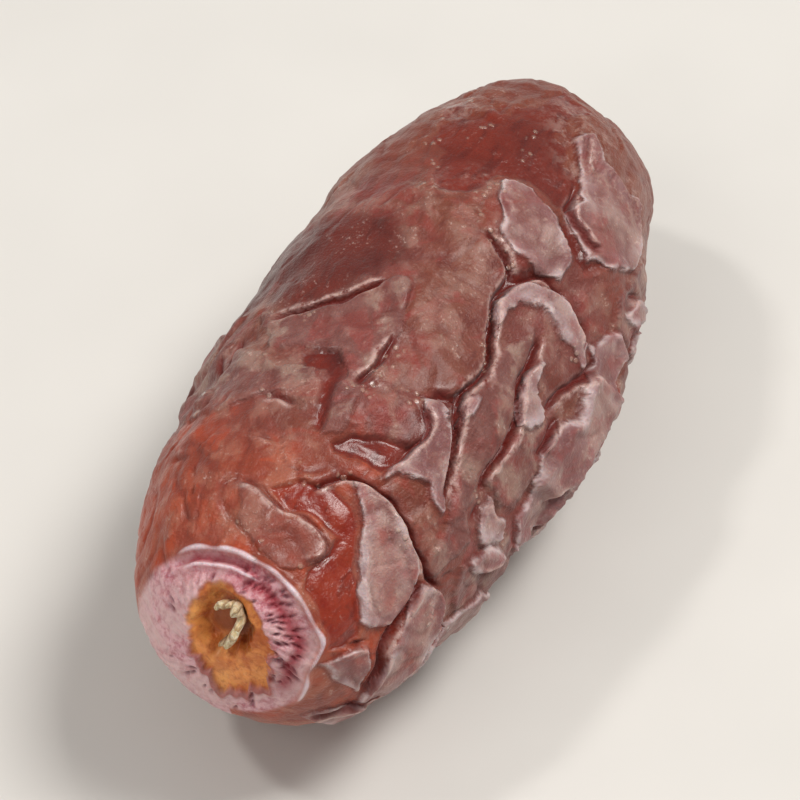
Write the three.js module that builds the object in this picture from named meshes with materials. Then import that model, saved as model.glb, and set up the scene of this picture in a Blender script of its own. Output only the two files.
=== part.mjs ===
import * as THREE from "three";

// A dry piarom date lying on its side, in millimetres with +Z up.
// The blunt end with the stalk scar is at -X, the tip is at +X, and -Y is the front.
// A place on the skin is given as [mm from the scar along the fruit, degrees round it].
// 0 degrees is the top of the fruit and +90 degrees is its front.

// Driving dimensions
const LENGTH = 53;
const HALF_WIDTH = 11.2;
const HALF_HEIGHT = 10.6;
const SCAR_END_BLUNTNESS = 2.7;
const TIP_END_BLUNTNESS = 2.5;

// The scar end turns up along an arc, leaning a little to the front
const BEND_LENGTH = 16;
const BEND_ANGLE = radians(11);
const LEAN = radians(21.8);
const SCAR_RISE = 2.2;

// Flat spot that the date rests on
const REST_DEPTH = 0.3;
const REST_PLACE = [27, 180];
const REST_REACH = [11, 24];
const REST_BLEND = [0.75, 1.3];

// Stalk scar: an oval disc in a band, all with places in the section's y and z
const DISC_CENTRE = [0.15, 1.1];
const DISC_HALF_WIDTH = 2.6;
const DISC_HALF_HEIGHT = 3.9;
const DISC_TILT = radians(14);
const DISC_SINK = 0.25;
const DISC_EDGE = [0.86, 1.08];

// Skin ridge round the band: its radius shrinks twice, between the degrees of each step
const RIDGE_RADIUS = 6.9;
const RIDGE_STEPS = [
  { shrinks: 0.9, from: -5, to: 55 },
  { shrinks: 1.3, from: 60, to: 90 },
];
const RIDGE_HEIGHT = 0.4;
const RIDGE_WIDTH = 0.55;
const RIDGE_ARC = [-40, 118];
const RIDGE_ARC_FADE = 12;
const GROOVE_DEPTH = 0.3;

// Pit of the stalk in the disc
const PIT_CENTRE = [0.7, 1.9];
const PIT_HALF_WIDTH = 1.8;
const PIT_HALF_HEIGHT = 2.5;
const PIT_DEPTH = 1.2;
const PIT_WALL = [0.8, 1.15];

// Torn stalk fibre: a curled strip that lines the pit and stands a little out of it
const FIBRE_GAP = 0.36;
const FIBRE_FOOT_GAP = 0.16;
const FIBRE_HALF_THICKNESS = 0.3;
const FIBRE_ARC = [-75, 150];
const FIBRE_STANDS_OUT = 0.55;
const FIBRE_RAGGED = 0.3;
const FIBRE_RAGGED_TURNS = [5.3, 9.1];
const FIBRE_RAGGED_SHARE = 0.6;
const FIBRE_END_SLIMNESS = 0.35;
const FIBRE_SPLAY = 0.22;
const BAR_SQUARENESS = 0.6;

// Mesh rows along the fruit, closer at the scar, and segments round it
const ROWS = 88;
const SCAR_ROW_SHARE = 1.2;
const SCAR_ROW_REACH = 6;
const SEGMENTS = 72;
const POLE_RADII = [0.8, 2, 5];
const SNAP_SHARE = 0.46;
const FIBRE_ROWS = 22;
const FIBRE_SEGMENTS = 10;

// Broad swellings and dents: [mm, degrees, height, reach mm, reach degrees]
const SWELLS = [
  [26, 98, 1.15, 6.5, 20],
  [35, 92, 0.7, 4.5, 24],
  [3, -100, -0.9, 5, 45],
  [49, -30, 0.5, 5, 50],
  [18.5, -64, -0.55, 4, 15],
  [27.5, -14, -0.45, 3.2, 15],
  [14.4, 24, -0.35, 1.6, 9],
  [5.2, 46, -0.3, 2, 10],
  [33.4, 44, -0.35, 1.3, 12],
  [22, 150, 0.5, 6, 18],
  [33, -150, 0.6, 7, 20],
  [14, -112, 0.45, 5, 18],
  [38, -95, -0.5, 4.5, 16],
  [12, 168, -0.4, 3.5, 18],
  [40, 140, -0.45, 5, 18],
];

// Slow waves over the whole skin
const WAVE_SEED = 11;
const WAVE_COUNT = 9;
const WAVE_HEIGHT = 0.07;

// Folds of the skin: depth and half-width of the crease in mm, the lips that stand up beside
// it on the left and on the right of the route, and the route's points by hand.
const FOLDS = [
  // the long crease beside the big finger-shaped flap, down past the pale tongue
  fold(0.95, 0.5, 0.32, 0.26, [
    [32.3, 13], [31.8, 20.5], [31.2, 27], [30.3, 30], [28.6, 29.5], [27.3, 32], [26.2, 34.5],
    [25, 37.5], [24.1, 39], [22.8, 40], [21.3, 37.5], [20.1, 37.8], [19.3, 39.5], [18.5, 42],
    [17.6, 44.5], [16.6, 47], [15.6, 50], [14.7, 52], [13.3, 52.5],
  ]),
  // the pale tongue: its far edge, and the hollow over its end
  fold(0.55, 0.45, 0.4, 0.1, [
    [18.2, 25.5], [17.8, 29.5], [17.1, 33], [16.2, 34.5], [14.5, 33], [13.5, 32], [12.3, 29.5],
  ]),
  fold(0.55, 0.6, 0.1, 0.15, [[20.3, 38], [19.7, 33], [19.2, 29], [18.6, 26]]),
  // the big flap: its rounded end, the crease inside it and the one that parts its foot
  fold(0.55, 0.5, 0.05, 0.45, [
    [28.6, 30.5], [30, 32], [31.2, 35.5], [32.1, 39.5], [32.4, 44.5], [32.3, 49], [32, 55],
    [31.7, 59.5], [32, 63.5], [31, 66], [30.1, 68.5],
  ]),
  fold(0.65, 0.5, 0.4, 0.12, [
    [28.8, 50], [27.3, 51.5], [25.9, 52], [24.8, 52.5], [23.6, 54], [22.6, 57], [21.7, 58.5],
    [20.3, 59.5], [19, 60], [17.9, 59.5], [17.2, 62], [17.6, 66.5],
  ]),
  fold(0.5, 0.45, 0.35, 0.12, [
    [31.2, 77], [30.6, 74.5], [29.6, 73], [28, 70], [26.5, 67.5], [25.2, 67.5], [24.4, 66],
  ]),
  fold(0.45, 0.45, 0.2, 0.1, [[17, 63], [16.2, 65.5], [15.4, 67.5], [14.4, 69.5]]),
  fold(0.45, 0.45, 0.1, 0.35, [[17.9, 67], [17.2, 72], [17.4, 76], [17.9, 79]]),
  fold(0.55, 0.45, 0.38, 0.1, [[26.3, 72.5], [24.5, 73], [23.2, 73.5], [21.6, 74.2]]),
  // flaps near the tip
  fold(0.6, 0.45, 0.42, 0.15, [
    [40.5, 33], [39.2, 34.3], [38, 34.5], [37.4, 37], [37, 41], [36.8, 45], [36.6, 49.5],
    [37.4, 54],
  ]),
  fold(0.25, 0.5, 0.28, 0, [[45.2, 25], [43.3, 29], [42.2, 33], [41.4, 38]]),
  fold(0.3, 0.45, 0.22, 0.05, [[35.4, 10], [35.2, 13], [34.6, 16.5], [33.4, 18.5]]),
  fold(0.4, 0.45, 0.3, 0.05, [[38.8, 83], [38, 77], [37, 73], [36.2, 71]]),
  // the crease across the top and the slit beside it
  fold(0.55, 0.42, 0.36, 0.2, [
    [20.9, -38], [21.4, -31], [21.9, -26], [22.5, -20], [23.1, -14.5], [23.9, -10],
    [24.7, -5.5], [25.9, -1.5],
  ]),
  fold(0.55, 0.5, 0.1, 0.3, [
    [22.3, 8.7], [21.6, 9], [20.8, 9.7], [19.8, 9.5], [18.3, 8.7], [16.7, 8.1], [16, 8],
  ]),
  fold(0.2, 0.45, 0.1, 0.05, [[22.3, 8.7], [23.5, 7.7], [25.2, 6.8], [26.3, 4], [26.6, 0.5]]),
  // short creases across the scar end
  fold(0.35, 0.4, 0.1, 0.28, [[14.3, -23], [14.2, -16], [14.1, -12], [13.9, -7], [13.5, -3]]),
  fold(0.3, 0.4, 0.05, 0.2, [[11.1, -19], [10.9, -13.5], [10.8, -9.5], [10.5, -4]]),
  fold(0.3, 0.4, 0.25, 0.05, [[9.6, -50], [9.3, -43], [8.8, -36]]),
  fold(0.3, 0.4, 0.22, 0.05, [[13, 9], [13.4, 12], [13.9, 16], [14.4, 19]]),
  fold(0.6, 0.45, 0.1, 0.45, [
    [7.9, 12], [8.7, 14.5], [9.7, 17.5], [10.4, 20], [10.6, 24], [10.7, 30], [10.9, 37],
    [10.7, 43], [10.4, 49], [10, 56], [9.8, 64], [9.7, 70], [10.2, 75], [10.8, 79],
  ]),
  // the notch at the back of the top
  fold(0.55, 0.5, 0.05, 0.35, [[15.2, -44], [16.5, -47], [18, -50], [19.4, -51]]),
];

// Folds of the scar end that have no like on the far side
const SCAR_FOLDS = [
  // the smooth oval flake and the flap beside it
  fold(0.28, 0.42, 0.05, 0.32, [
    [7, -18], [7.3, -9], [6.9, -3], [6.5, 3], [6.4, 9], [6.5, 14], [6.3, 21], [6, 27],
    [5.5, 31], [4.6, 30.5], [4, 27], [3.6, 23],
  ]),
  fold(0.12, 0.5, 0.22, 0, [[8.2, 36], [7.3, 40], [6.4, 46], [5.2, 54], [4.6, 62], [4.9, 68]]),
  // the strip along the front and the mauve plate at the scar
  fold(0.5, 0.45, 0.4, 0.1, [
    [9.6, 68], [8.6, 69], [7.7, 71.5], [6.8, 74.5], [5.7, 79], [5, 85], [4.8, 92], [4.4, 102],
    [4.2, 112],
  ]),
  fold(0.3, 0.42, 0.05, 0.25, [[2.4, 72], [3.2, 74.5], [4.3, 77.5], [4.7, 81]]),
  fold(0.4, 0.45, 0.05, 0.3, [
    [1.8, 134], [2.6, 128], [3.4, 122], [4.8, 117], [6.5, 114], [8.5, 112],
  ]),
  // folds that run out from under the scar band, round its hidden side
  fold(0.45, 0.5, 0.25, 0.1, [[3.4, 148], [5, 150], [7.4, 147], [10, 149]]),
  fold(0.4, 0.5, 0.1, 0.3, [[3.2, 172], [4.8, 174], [6.6, 171], [8.2, 173]]),
  fold(0.5, 0.5, 0.3, 0.1, [[3.4, -162], [5.4, -160], [8, -163], [10.8, -158]]),
  fold(0.4, 0.5, 0.1, 0.25, [[3.2, -136], [4.8, -134], [6.8, -137], [9, -133]]),
  fold(0.45, 0.5, 0.25, 0.1, [[3.6, -110], [5.6, -107], [8.4, -109]]),
  fold(0.35, 0.5, 0.1, 0.25, [[4.2, -82], [6, -80], [8.6, -83]]),
];

// The far side wears the same kinds of folds twice: once turned end for end, once mirrored.
// A copy takes [mm, degrees] to [start + along * mm, centre + round * (degrees - middle)].
const FOLDS_MIDDLE = 16;
const FAR_COPIES = [
  { start: 53, along: -1, centre: 142, round: -0.82 },
  { start: 1.5, along: 0.96, centre: 262, round: -0.82 },
];
const FAR_SEED = 5;
const FAR_JITTER = [0.7, 2.5];

// How fast a fold dies out at its ends, and the wide hollow that it lies in
const FOLD_STEP = 0.5;
const FOLD_TAPER = 1.6;
const LIP_RISE = 0.62;
const LIP_REACH = 1.77;
const HOLLOW_SHARE = 0.28;
const HOLLOW_REACH = 2.6;
const SCAR_BLEND = [1.2, 3];
const SNAP_LEAST_TAPER = 0.05;

const SKIN_COLOUR = 0x8e4f48;
const FIBRE_COLOUR = 0xe6cfa0;

function radians(degrees) {
  return (degrees * Math.PI) / 180;
}

function fold(depth, halfWidth, leftLip, rightLip, points) {
  return { depth, halfWidth, leftLip, rightLip, points };
}

// Random numbers from 0 to 1, the same on every run
function seeded(seed) {
  let state = seed * 2654435761;
  return () => {
    state = (Math.imul(state ^ (state >>> 15), 2246822519) + 0x9e3779b9) | 0;
    const mixed = Math.imul(state ^ (state >>> 13), 3266489917);
    return ((mixed ^ (mixed >>> 16)) >>> 0) / 4294967296;
  };
}

// Signed turn from one angle to another, in degrees from -180 to 180
function turnBetween(from, to) {
  return ((((to - from) % 360) + 540) % 360) - 180;
}

function bell(value) {
  return Math.exp(-value * value);
}

function smooth(low, high, value) {
  const x = Math.min(1, Math.max(0, (value - low) / (high - low)));
  return x * x * (3 - 2 * x);
}

// Radius share at a distance along the fruit: a superellipse, blunter at the scar
function girth(mm) {
  const across = (2 * mm) / LENGTH - 1;
  const bluntness = across < 0 ? SCAR_END_BLUNTNESS : TIP_END_BLUNTNESS;
  return Math.pow(Math.max(0, 1 - Math.pow(Math.abs(across), bluntness)), 1 / bluntness);
}

// The centreline: straight from the tip, then an arc that lifts the scar end
function centreline(mm) {
  const radius = BEND_LENGTH / BEND_ANGLE;
  const turn = Math.max(0, BEND_LENGTH - mm) / radius;
  const along = turn > 0 ? BEND_LENGTH - radius * Math.sin(turn) : mm;
  return { along: along - LENGTH / 2, lift: radius * (1 - Math.cos(turn)), turn };
}

function swelling(mm, degrees) {
  let height = 0;
  for (const [atMm, atDegrees, high, reachMm, reachDegrees] of SWELLS) {
    const turn = turnBetween(atDegrees, degrees) / reachDegrees;
    height += high * bell((mm - atMm) / reachMm) * bell(turn);
  }
  return height;
}

// Across the section: y and z before the section is leaned, lifted and turned
function section(mm, degrees) {
  const size = girth(mm) * (1 + swelling(mm, degrees) / HALF_WIDTH);
  const angle = radians(degrees);
  return [-HALF_WIDTH * size * Math.sin(angle), HALF_HEIGHT * size * Math.cos(angle)];
}

// The smooth skin, without folds
function skin(mm, degrees) {
  const [y, z] = section(mm, degrees);
  const { along, lift, turn } = centreline(mm);
  const leanY = -Math.sin(LEAN);
  const leanZ = Math.cos(LEAN);
  const share = girth(mm);
  const rise = mm < LENGTH / 2 ? SCAR_RISE * Math.pow(1 - share, 1.5) : 0;
  const up = y * leanY + z * leanZ + rise;
  const side = y * leanZ - z * leanY;
  const high = lift + up * Math.cos(turn);
  return new THREE.Vector3(
    along + up * Math.sin(turn),
    high * leanY + side * leanZ,
    high * leanZ - side * leanY,
  );
}

// Outward direction of the smooth skin
function outward(mm, degrees) {
  const step = 0.02;
  const at = Math.min(LENGTH - 2 * step, Math.max(2 * step, mm));
  const along = skin(at + step, degrees).sub(skin(at - step, degrees));
  const round = skin(at, degrees + 1).sub(skin(at, degrees - 1));
  return round.cross(along).normalize();
}

// A fold's route as points on the smooth skin, a short step apart
function route(points) {
  const flat = points.map(([mm, degrees]) => new THREE.Vector2(mm, degrees));
  const curve = new THREE.SplineCurve(flat);
  const rough = flat.reduce((sum, point, i) => {
    if (i === 0) return 0;
    const before = flat[i - 1];
    return sum + skin(point.x, point.y).distanceTo(skin(before.x, before.y));
  }, 0);
  const count = Math.max(6, Math.ceil(rough / FOLD_STEP));
  const places = curve.getPoints(count);
  const stations = places.map((place) => ({
    at: skin(place.x, place.y),
    out: outward(place.x, place.y),
    run: 0,
  }));
  for (let i = 1; i < stations.length; i += 1) {
    stations[i].run = stations[i - 1].run + stations[i].at.distanceTo(stations[i - 1].at);
  }
  return stations;
}

// The same folds laid on the far side, each point moved a little; a mirrored copy has its
// lips on the other side
function farFolds() {
  const draw = seeded(FAR_SEED);
  const jitter = (most) => (draw() - 0.5) * 2 * most;
  return FAR_COPIES.flatMap(({ start, along, centre, round }) => {
    const mirrored = along * round < 0;
    return FOLDS.map(({ depth, halfWidth, leftLip, rightLip, points }) => ({
      depth,
      halfWidth,
      leftLip: mirrored ? rightLip : leftLip,
      rightLip: mirrored ? leftLip : rightLip,
      points: points.map(([mm, degrees]) => [
        start + along * mm + jitter(FAR_JITTER[0]),
        centre + round * (degrees - FOLDS_MIDDLE) + jitter(FAR_JITTER[1]),
      ]),
    }));
  });
}

const CREASES = [...FOLDS, ...SCAR_FOLDS, ...farFolds()].map((one) => {
  const stations = route(one.points);
  const reach = Math.max(...stations.map((s) => s.at.distanceTo(stations[0].at)));
  return { ...one, stations, reach, total: stations[stations.length - 1].run };
});

// Nearest place on a crease: how far it is, on which side, and how near the crease's ends
function nearest(crease, point) {
  let best = { distance: Infinity };
  const { stations } = crease;
  for (let i = 1; i < stations.length; i += 1) {
    const a = stations[i - 1];
    const b = stations[i];
    const span = b.at.clone().sub(a.at);
    const offset = point.clone().sub(a.at);
    const share = Math.min(1, Math.max(0, offset.dot(span) / span.lengthSq()));
    const foot = a.at.clone().addScaledVector(span, share);
    const distance = foot.distanceTo(point);
    if (distance < best.distance) {
      const left = new THREE.Vector3().crossVectors(a.out, span);
      const side = left.dot(point.clone().sub(foot)) >= 0 ? 1 : -1;
      const way = a.out.clone().lerp(b.out, share).normalize();
      best = { distance, side, run: a.run + span.length() * share, foot, out: way };
    }
  }
  return best;
}

function taperAt(crease, run) {
  return smooth(0, FOLD_TAPER, run) * smooth(0, FOLD_TAPER, crease.total - run);
}

function creasesNear(point) {
  return CREASES.filter((crease) => {
    return crease.stations[0].at.distanceTo(point) < crease.reach + 3 * HOLLOW_REACH;
  });
}

// Height of all folds at a point of the skin: the deepest crease and the highest lip win
function foldHeight(point) {
  let deep = 0;
  let lip = 0;
  let hollow = 0;
  for (const crease of creasesNear(point)) {
    const { distance, side, run } = nearest(crease, point);
    const taper = taperAt(crease, run);
    const depth = crease.depth * taper;
    const lipHeight = (side > 0 ? crease.leftLip : crease.rightLip) * taper;
    const risen = Math.min(1, distance / LIP_RISE);
    deep = Math.max(deep, depth * bell(distance / crease.halfWidth));
    lip = Math.max(lip, lipHeight * risen * bell(distance / LIP_REACH));
    hollow = Math.max(hollow, depth * HOLLOW_SHARE * bell(distance / HOLLOW_REACH));
  }
  return lip - deep - hollow;
}

// Slow waves with drawn directions and phases
const WAVES = (() => {
  const draw = seeded(WAVE_SEED);
  return Array.from({ length: WAVE_COUNT }, () => ({
    alongTurns: 1.5 + 5 * draw(),
    roundTurns: Math.round(-4 + 8 * draw()),
    phase: 2 * Math.PI * draw(),
  }));
})();

function waveHeight(mm, degrees) {
  return WAVES.reduce((sum, { alongTurns, roundTurns, phase }) => {
    const angle = (2 * Math.PI * alongTurns * mm) / LENGTH + roundTurns * radians(degrees);
    return sum + WAVE_HEIGHT * Math.sin(angle + phase);
  }, 0);
}

// How far out a place is in a leaning oval: 0 at the centre and 1 on the rim
function inOval(y, z, [centreY, centreZ], halfWidth, halfHeight, tilt) {
  const across = (y - centreY) * Math.cos(tilt) - (z - centreZ) * Math.sin(tilt);
  const tall = (y - centreY) * Math.sin(tilt) + (z - centreZ) * Math.cos(tilt);
  return Math.hypot(across / halfWidth, tall / halfHeight);
}

// Relief of the stalk scar
function scarHeight(mm, degrees) {
  if (mm > LENGTH / 4) return 0;
  const [y, z] = section(mm, degrees);
  const turned = turnBetween(0, degrees);
  const shrunk = RIDGE_STEPS.reduce((sum, { shrinks, from, to }) => {
    return sum + shrinks * smooth(from, to, turned);
  }, 0);
  const offRidge = HALF_WIDTH * girth(mm) - RIDGE_RADIUS + shrunk;
  const [first, last] = RIDGE_ARC;
  const begun = smooth(first - RIDGE_ARC_FADE, first + RIDGE_ARC_FADE, turned);
  const ended = smooth(last - RIDGE_ARC_FADE, last + RIDGE_ARC_FADE, turned);
  const ridge = RIDGE_HEIGHT * bell(offRidge / RIDGE_WIDTH);
  const groove = GROOVE_DEPTH * bell(offRidge / RIDGE_WIDTH + 2);
  const inDisc = inOval(y, z, DISC_CENTRE, DISC_HALF_WIDTH, DISC_HALF_HEIGHT, DISC_TILT);
  const inPit = inOval(y, z, PIT_CENTRE, PIT_HALF_WIDTH, PIT_HALF_HEIGHT, 0);
  const disc = DISC_SINK * (1 - smooth(...DISC_EDGE, inDisc));
  const pit = PIT_DEPTH * (1 - smooth(...PIT_WALL, inPit));
  return (ridge - groove) * begun * (1 - ended) - disc - pit;
}

// A corner of the mesh slides onto a crease that runs close by, so that creases stay unbroken
function settle(mm, degrees, snap) {
  const point = skin(mm, degrees);
  let best = { distance: snap, foot: point, out: outward(mm, degrees) };
  for (const crease of creasesNear(point)) {
    const place = nearest(crease, point);
    const { run, distance } = place;
    if (distance < best.distance && taperAt(crease, run) > SNAP_LEAST_TAPER) best = place;
  }
  return { point: best.foot.clone(), out: best.out };
}

// The finished skin: folds, waves and scar, flattened where the date rests
function surface(mm, degrees, snap = 0) {
  const { point, out } = settle(mm, degrees, snap);
  const [restMm, restDegrees] = REST_PLACE;
  const [reachMm, reachDegrees] = REST_REACH;
  const fromRest = Math.hypot(
    (mm - restMm) / reachMm,
    turnBetween(restDegrees, degrees) / reachDegrees,
  );
  const free = smooth(...REST_BLEND, fromRest);
  const pastScar = smooth(...SCAR_BLEND, mm);
  const height = free * pastScar * (foldHeight(point) + waveHeight(mm, degrees));
  const corner = point.addScaledVector(out, height + scarHeight(mm, degrees));
  return { corner, height };
}

// Rows an equal step apart along the skin, from pole to pole: mm from the scar for each
function rowPlaces() {
  const fine = 4000;
  const places = [0];
  const runs = [0];
  for (let i = 1; i <= fine; i += 1) {
    const mm = (LENGTH * (1 - Math.cos((Math.PI * i) / fine))) / 2;
    const before = places[i - 1];
    const step = Math.hypot(mm - before, HALF_WIDTH * (girth(mm) - girth(before)));
    const closer = 1 + SCAR_ROW_SHARE * bell(runs[i - 1] / SCAR_ROW_REACH / 2);
    places.push(mm);
    runs.push(runs[i - 1] + step * closer);
  }
  const total = runs[fine];
  let at = 0;
  return Array.from({ length: ROWS - 1 }, (_, row) => {
    const target = (total * (row + 1)) / ROWS;
    while (runs[at + 1] < target) at += 1;
    const share = (target - runs[at]) / (runs[at + 1] - runs[at]);
    return places[at] + share * (places[at + 1] - places[at]);
  });
}

// Fewer segments round the small rings near the poles
function segmentsAt(mm) {
  const radius = HALF_WIDTH * girth(mm);
  const halvings = POLE_RADII.filter((limit) => radius < limit).length;
  return SEGMENTS / 2 ** halvings;
}

// Joins two rings of corner numbers; one may have twice the corners of the other. A square
// is split along its lower diagonal, so that the bottom of a crease is an edge of the mesh.
function joinRings(near, far, heights, faces) {
  const few = near.length <= far.length ? near : far;
  const many = near.length <= far.length ? far : near;
  const ratio = many.length / few.length;
  const nearIsFew = near.length <= far.length;
  const add = (a, b, c) => faces.push(...(nearIsFew ? [a, b, c] : [a, c, b]));
  for (let i = 0; i < few.length; i += 1) {
    const next = (i + 1) % few.length;
    const ring = Array.from({ length: ratio + 1 }, (_, k) => many[(i * ratio + k) % many.length]);
    const firstSplit = heights[few[i]] + heights[ring[1]];
    const otherSplit = heights[few[next]] + heights[ring[0]];
    if (ratio === 1 && firstSplit <= otherSplit) {
      add(few[i], few[next], ring[1]);
      add(few[i], ring[1], ring[0]);
    } else if (ratio === 1) {
      add(few[i], few[next], ring[0]);
      add(few[next], ring[1], ring[0]);
    } else {
      add(few[i], ring[1], ring[0]);
      add(few[i], few[next], ring[1]);
      add(few[next], ring[2], ring[1]);
    }
  }
}

// A closed surface of rings between two poles, each corner with its height over the skin
function closedSurface(firstPole, rings, lastPole) {
  const all = [firstPole, ...rings.flat(), lastPole];
  const corners = all.map(({ corner }) => corner);
  const heights = all.map(({ height }) => height);
  const faces = [];
  let count = 1;
  const numbered = rings.map((ring) => ring.map(() => count++));
  const fan = (pole, ring, flip) => {
    ring.forEach((corner, i) => {
      const next = ring[(i + 1) % ring.length];
      faces.push(...(flip ? [pole, corner, next] : [pole, next, corner]));
    });
  };
  fan(0, numbered[0], false);
  for (let i = 1; i < numbered.length; i += 1) {
    joinRings(numbered[i - 1], numbered[i], heights, faces);
  }
  fan(corners.length - 1, numbered[numbered.length - 1], true);
  const geometry = new THREE.BufferGeometry();
  const positions = corners.flatMap((corner) => corner.toArray());
  geometry.setAttribute("position", new THREE.Float32BufferAttribute(positions, 3));
  geometry.setIndex(faces);
  geometry.computeVertexNormals();
  return geometry;
}

function fruitGeometry() {
  const places = rowPlaces();
  const rings = places.map((mm, row) => {
    const count = segmentsAt(mm);
    const rowStep = skin(mm, 0).distanceTo(skin(places[row - 1] ?? 0, 0));
    const across = (2 * Math.PI * HALF_WIDTH * girth(mm)) / count;
    const snap = SNAP_SHARE * Math.min(rowStep, across);
    return Array.from({ length: count }, (_, i) => surface(mm, (360 * i) / count, snap));
  });
  return closedSurface(surface(0, 0), rings, surface(LENGTH, 0));
}

// The fibre's strip runs round the pit between its torn ends. Its section is a tall rounded
// bar with its foot over the pit's floor and a ragged top edge that stands out of the pit.
function fibreGeometry(centre, out, floor) {
  const upward = new THREE.Vector3(0, -Math.sin(LEAN), Math.cos(LEAN));
  const front = new THREE.Vector3().crossVectors(out, upward).negate().normalize();
  const top = new THREE.Vector3().crossVectors(out, front).normalize();
  const [first, last] = FIBRE_ARC.map(radians);
  const place = (share, angle) => {
    const round = first + (last - first) * share;
    const slim = Math.pow(Math.sin(Math.PI * share), FIBRE_END_SLIMNESS);
    const [slow, quick] = FIBRE_RAGGED_TURNS;
    const wave = Math.sin(slow * round) + FIBRE_RAGGED_SHARE * Math.sin(quick * round + 1);
    const head = (FIBRE_STANDS_OUT + FIBRE_RAGGED * wave) * slim;
    const halfHeight = (head - floor) / 2;
    const bar = (value) => Math.sign(value) * Math.pow(Math.abs(value), BAR_SQUARENESS);
    const inward = FIBRE_HALF_THICKNESS * (1 + slim * bar(Math.cos(angle))) + FIBRE_GAP;
    const level = floor + halfHeight - halfHeight * slim * bar(Math.sin(angle));
    const width = PIT_HALF_WIDTH * PIT_WALL[0] - inward;
    const height = PIT_HALF_HEIGHT * PIT_WALL[0] - inward;
    const splay = 1 + FIBRE_SPLAY * (level - floor);
    const corner = centre
      .clone()
      .addScaledVector(out, level)
      .addScaledVector(top, height * splay * Math.cos(round))
      .addScaledVector(front, width * splay * Math.sin(round));
    return { corner, height: 0 };
  };
  const rings = Array.from({ length: FIBRE_ROWS - 1 }, (_, row) => {
    const share = (1 - Math.cos((Math.PI * (row + 1)) / FIBRE_ROWS)) / 2;
    return Array.from({ length: FIBRE_SEGMENTS }, (_, i) => {
      return place(share, (2 * Math.PI * i) / FIBRE_SEGMENTS);
    });
  });
  return closedSurface(place(0, 0), rings, place(1, 0));
}

// Where the pit opens on the smooth skin, and the way that it faces
function pitMouth() {
  const [y, z] = PIT_CENTRE;
  const degrees = (Math.atan2(-y, z) * 180) / Math.PI;
  let mm = 0;
  while (Math.hypot(...section(mm, degrees)) < Math.hypot(y, z)) mm += 0.001;
  return { mouth: skin(mm, degrees), out: outward(mm, degrees) };
}

const fruitShape = fruitGeometry();
const { mouth, out: pitOut } = pitMouth();
const fibreFoot = FIBRE_FOOT_GAP - PIT_DEPTH - DISC_SINK;
const fibreShape = fibreGeometry(mouth, pitOut, fibreFoot);

// Set the fruit down: its lowest skin is pressed flat, and the origin is under its middle
fruitShape.computeBoundingBox();
const rawBox = fruitShape.boundingBox;
const floorZ = rawBox.min.z + REST_DEPTH;
const corners = fruitShape.attributes.position;
for (let i = 0; i < corners.count; i += 1) {
  if (corners.getZ(i) < floorZ) corners.setZ(i, floorZ);
}
fruitShape.computeBoundingBox();
const wholeBox = fruitShape.boundingBox.clone();
fibreShape.computeBoundingBox();
wholeBox.union(fibreShape.boundingBox);
const middle = wholeBox.getCenter(new THREE.Vector3());
for (const shape of [fruitShape, fibreShape]) shape.translate(-middle.x, -middle.y, -floorZ);

const fruit = new THREE.Mesh(
  fruitShape,
  new THREE.MeshStandardMaterial({ color: SKIN_COLOUR, roughness: 0.42, metalness: 0 }),
);
fruit.name = "fruit";

const fibre = new THREE.Mesh(
  fibreShape,
  new THREE.MeshStandardMaterial({ color: FIBRE_COLOUR, roughness: 0.75, metalness: 0 }),
);
fibre.name = "stalk_fibre";

const date = new THREE.Group();
date.add(fruit, fibre);

export default date;
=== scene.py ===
# %% [markdown]
# # A piarom date
# A piarom date is a long, dry date whose thin skin has come loose in folded, papery plates.
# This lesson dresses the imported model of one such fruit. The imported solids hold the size
# and the place of the fruit, and the pieces made here stand in for them with a finer skin.
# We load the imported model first, because every new piece is placed by its boxes.

# %% Load the frame
import math

import bpy
import numpy as np
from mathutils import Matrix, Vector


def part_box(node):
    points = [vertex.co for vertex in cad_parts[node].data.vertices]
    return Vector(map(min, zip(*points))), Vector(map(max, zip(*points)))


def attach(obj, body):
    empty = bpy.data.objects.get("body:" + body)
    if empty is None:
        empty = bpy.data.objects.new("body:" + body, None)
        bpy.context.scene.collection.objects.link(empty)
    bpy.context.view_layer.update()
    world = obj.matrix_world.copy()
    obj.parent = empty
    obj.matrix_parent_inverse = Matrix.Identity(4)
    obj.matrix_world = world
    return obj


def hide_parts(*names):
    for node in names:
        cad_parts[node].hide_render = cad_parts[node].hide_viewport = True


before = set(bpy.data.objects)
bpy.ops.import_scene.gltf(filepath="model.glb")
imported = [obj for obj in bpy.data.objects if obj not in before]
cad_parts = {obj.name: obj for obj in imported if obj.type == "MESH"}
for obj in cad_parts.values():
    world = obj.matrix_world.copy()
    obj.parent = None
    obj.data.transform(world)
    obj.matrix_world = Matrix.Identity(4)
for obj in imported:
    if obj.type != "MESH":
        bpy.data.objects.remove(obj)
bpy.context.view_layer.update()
MM = 0.001
print("nodes:", sorted(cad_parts))

# %% [markdown]
# ## The size of the fruit
# Every length here is in millimetres. A place on the skin is two numbers: how far it lies
# from the stalk scar along the fruit, and how many degrees round the fruit it is, with 0 at
# the top and +90 at the front. The solids were made from the same values.

# %% Driving dimensions
LENGTH = 53.0
HALF_WIDTH = 11.2
HALF_HEIGHT = 10.6
SCAR_END_BLUNTNESS = 2.7
TIP_END_BLUNTNESS = 2.5
BEND_LENGTH = 16.0
BEND_ANGLE = math.radians(11)
LEAN = math.radians(21.8)
SCAR_RISE = 2.2
SCAR_RISE_SHARPNESS = 1.5
SLOPE_STEP = 0.02
REST_DEPTH = 0.3
REST_PLACE = (27.0, 180.0)
REST_REACH = (11.0, 24.0)

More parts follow.
